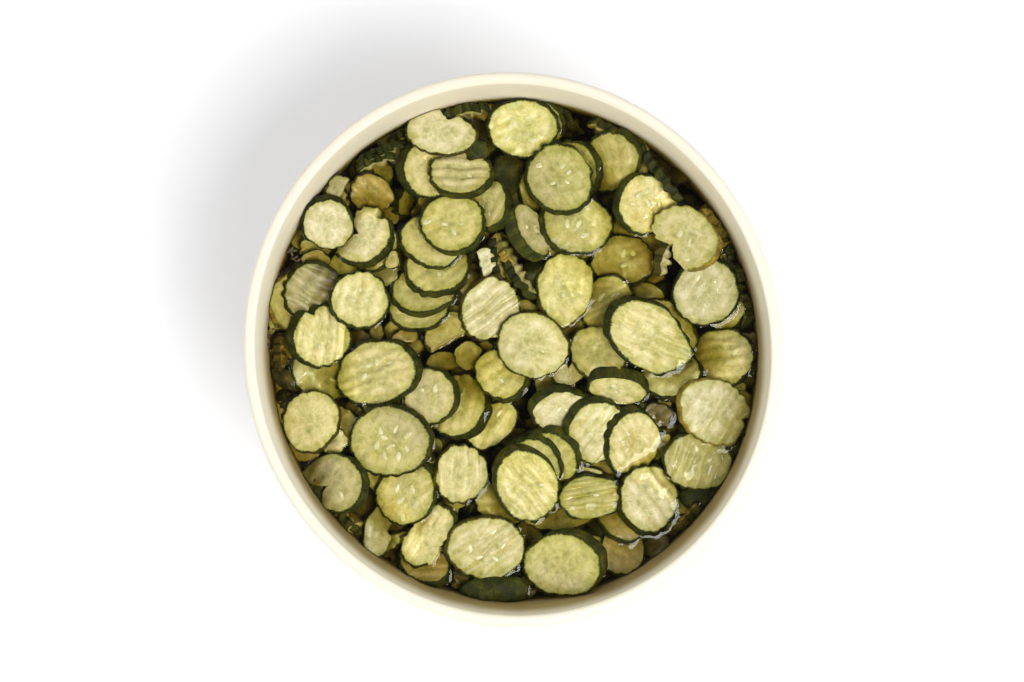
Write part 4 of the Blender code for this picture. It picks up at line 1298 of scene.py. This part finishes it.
class PICKLES_OT_brine(bpy.types.Operator):
    """Pours the brine round the slices, with its edge drawn up at the slices and the wall"""
    bl_idname = "pickles.brine"
    bl_label = "Brine"

    def execute(self, context):
        looks = context.scene.brine_looks
        model = bmesh.new()
        brine_surface(model)
        brine_below(model)
        to_object("brine", model, brine_material(looks.colour, looks.density))
        return {"FINISHED"}


class PICKLES_OT_specks(bpy.types.Operator):
    """Adds the bits of spice and the bubbles that float on the brine"""
    bl_idname = "pickles.specks"
    bl_label = "Specks and bubbles"

    def execute(self, context):
        draw = random.Random(3)
        model = bmesh.new()
        for x, y, length in SPECKS:
            for _ in range(3):
                made = bmesh.ops.create_icosphere(model, subdivisions=2, radius=0.5 * length * MM)
                turn = Matrix.Rotation(draw.uniform(0.0, math.pi), 3, "Z")
                shift = Vector((x + draw.uniform(-2, 2), y + draw.uniform(-2, 2), BRINE_SURFACE + 0.6)) * MM
                for vertex in made["verts"]:
                    a, b, c = vertex.co
                    b *= 0.3 + 0.1 * math.sin(a * 2500.0)
                    vertex.co = shift + turn @ Vector((a, b, c * 0.22))
        to_object("spice_bits", model, speck_material())
        model = bmesh.new()
        for x, y, radius in BUBBLES:
            made = bmesh.ops.create_icosphere(model, subdivisions=3, radius=radius * MM)
            bmesh.ops.translate(model, verts=made["verts"], vec=Vector((x, y, BRINE_SURFACE + 0.9)) * MM)
        to_object("bubbles", model, bubble_material())
        return {"FINISHED"}


class PICKLES_OT_stage(bpy.types.Operator):
    """Sets the white floor, the soft lights and the camera, straight above the tub"""
    bl_idname = "pickles.stage"
    bl_label = "Stage"

    def execute(self, context):
        scene = context.scene
        model = bmesh.new()
        bmesh.ops.create_grid(model, x_segments=1, y_segments=1, size=3.0)
        mesh = bpy.data.meshes.new("floor")
        model.to_mesh(mesh)
        model.free()
        mesh.materials.append(floor_material())
        floor = bpy.data.objects.new("floor", mesh)
        scene.collection.objects.link(floor)

        world = scene.world or bpy.data.worlds.new("world")
        scene.world = world
        world.use_nodes = True
        tree = world.node_tree
        # The room is dim straight above, where the camera hangs.
        direction = node(tree, "ShaderNodeTexCoord").outputs["Generated"]
        upward = node(tree, "ShaderNodeSeparateXYZ", {0: direction}).outputs["Z"]
        light = node(tree, "ShaderNodeMapRange", {
            "Value": upward, "From Min": 0.88, "From Max": 0.97, "To Min": 0.76, "To Max": 0.12},
            interpolation_type="SMOOTHSTEP").outputs[0]
        fill(tree, tree.nodes["Background"], {"Color": (0.98, 0.98, 1.0, 1.0), "Strength": light})

        for name, place, size, power in (
                ("key", (0.64, -0.54, 1.75), 0.9, 28.0), ("west", (-0.95, -0.15, 1.50), 0.8, 5.0)):
            lamp = bpy.data.lights.new(name, "AREA")
            lamp.shape = "SQUARE"
            lamp.size = size
            lamp.energy = power
            item = bpy.data.objects.new(name, lamp)
            item.location = place
            towards_tub = Vector((0.0, 0.0, 0.1)) - Vector(place)
            item.rotation_euler = towards_tub.to_track_quat("-Z", "Y").to_euler()
            scene.collection.objects.link(item)

        data = bpy.data.cameras.new("camera")
        data.lens = CAMERA_LENS
        data.sensor_width = 36.0
        camera = bpy.data.objects.new("camera", data)
        camera.location = CAMERA_PLACE
        scene.collection.objects.link(camera)
        scene.camera = camera
        scene.view_settings.view_transform = "Standard"
        return {"FINISHED"}


class PICKLES_PT_panel(bpy.types.Panel):
    """Lists the sizes, the colours and the pieces"""
    bl_idname = "PICKLES_PT_panel"
    bl_label = "Tub of Sliced Pickles"
    bl_space_type = "VIEW_3D"
    bl_region_type = "UI"
    bl_category = "Pickles"

    def draw(self, context):
        for name in ("ridge_pitch", "ridge_height", "seed_length", "tub_colour"):
            self.layout.prop(context.scene.pickle_looks, name)
        for name in ("colour", "density"):
            self.layout.prop(context.scene.brine_looks, name)
        for operator in OPERATORS:
            self.layout.operator(operator.bl_idname)


OPERATORS = (
    PICKLES_OT_tub,
    PICKLES_OT_standing_slices,
    PICKLES_OT_lying_slices,
    PICKLES_OT_sunken_slices,
    PICKLES_OT_packed_slices,
    PICKLES_OT_seeds,
    PICKLES_OT_brine,
    PICKLES_OT_specks,
    PICKLES_OT_stage,
)
CLASSES = (PickleLooks, BrineLooks, *OPERATORS, PICKLES_PT_panel)


def register():
    for item in CLASSES:
        bpy.utils.register_class(item)
    bpy.types.Scene.pickle_looks = bpy.props.PointerProperty(type=PickleLooks)
    bpy.types.Scene.brine_looks = bpy.props.PointerProperty(type=BrineLooks)


def unregister():
    del bpy.types.Scene.brine_looks
    del bpy.types.Scene.pickle_looks
    for item in reversed(CLASSES):
        bpy.utils.unregister_class(item)


def main():
    register()
    bpy.ops.pickles.tub()
    bpy.ops.pickles.standing_slices()
    bpy.ops.pickles.lying_slices()
    bpy.ops.pickles.sunken_slices()
    bpy.ops.pickles.packed_slices()
    bpy.ops.pickles.seeds()
    bpy.ops.pickles.brine()
    bpy.ops.pickles.specks()
    bpy.ops.pickles.stage()


if __name__ == "__main__":
    main()
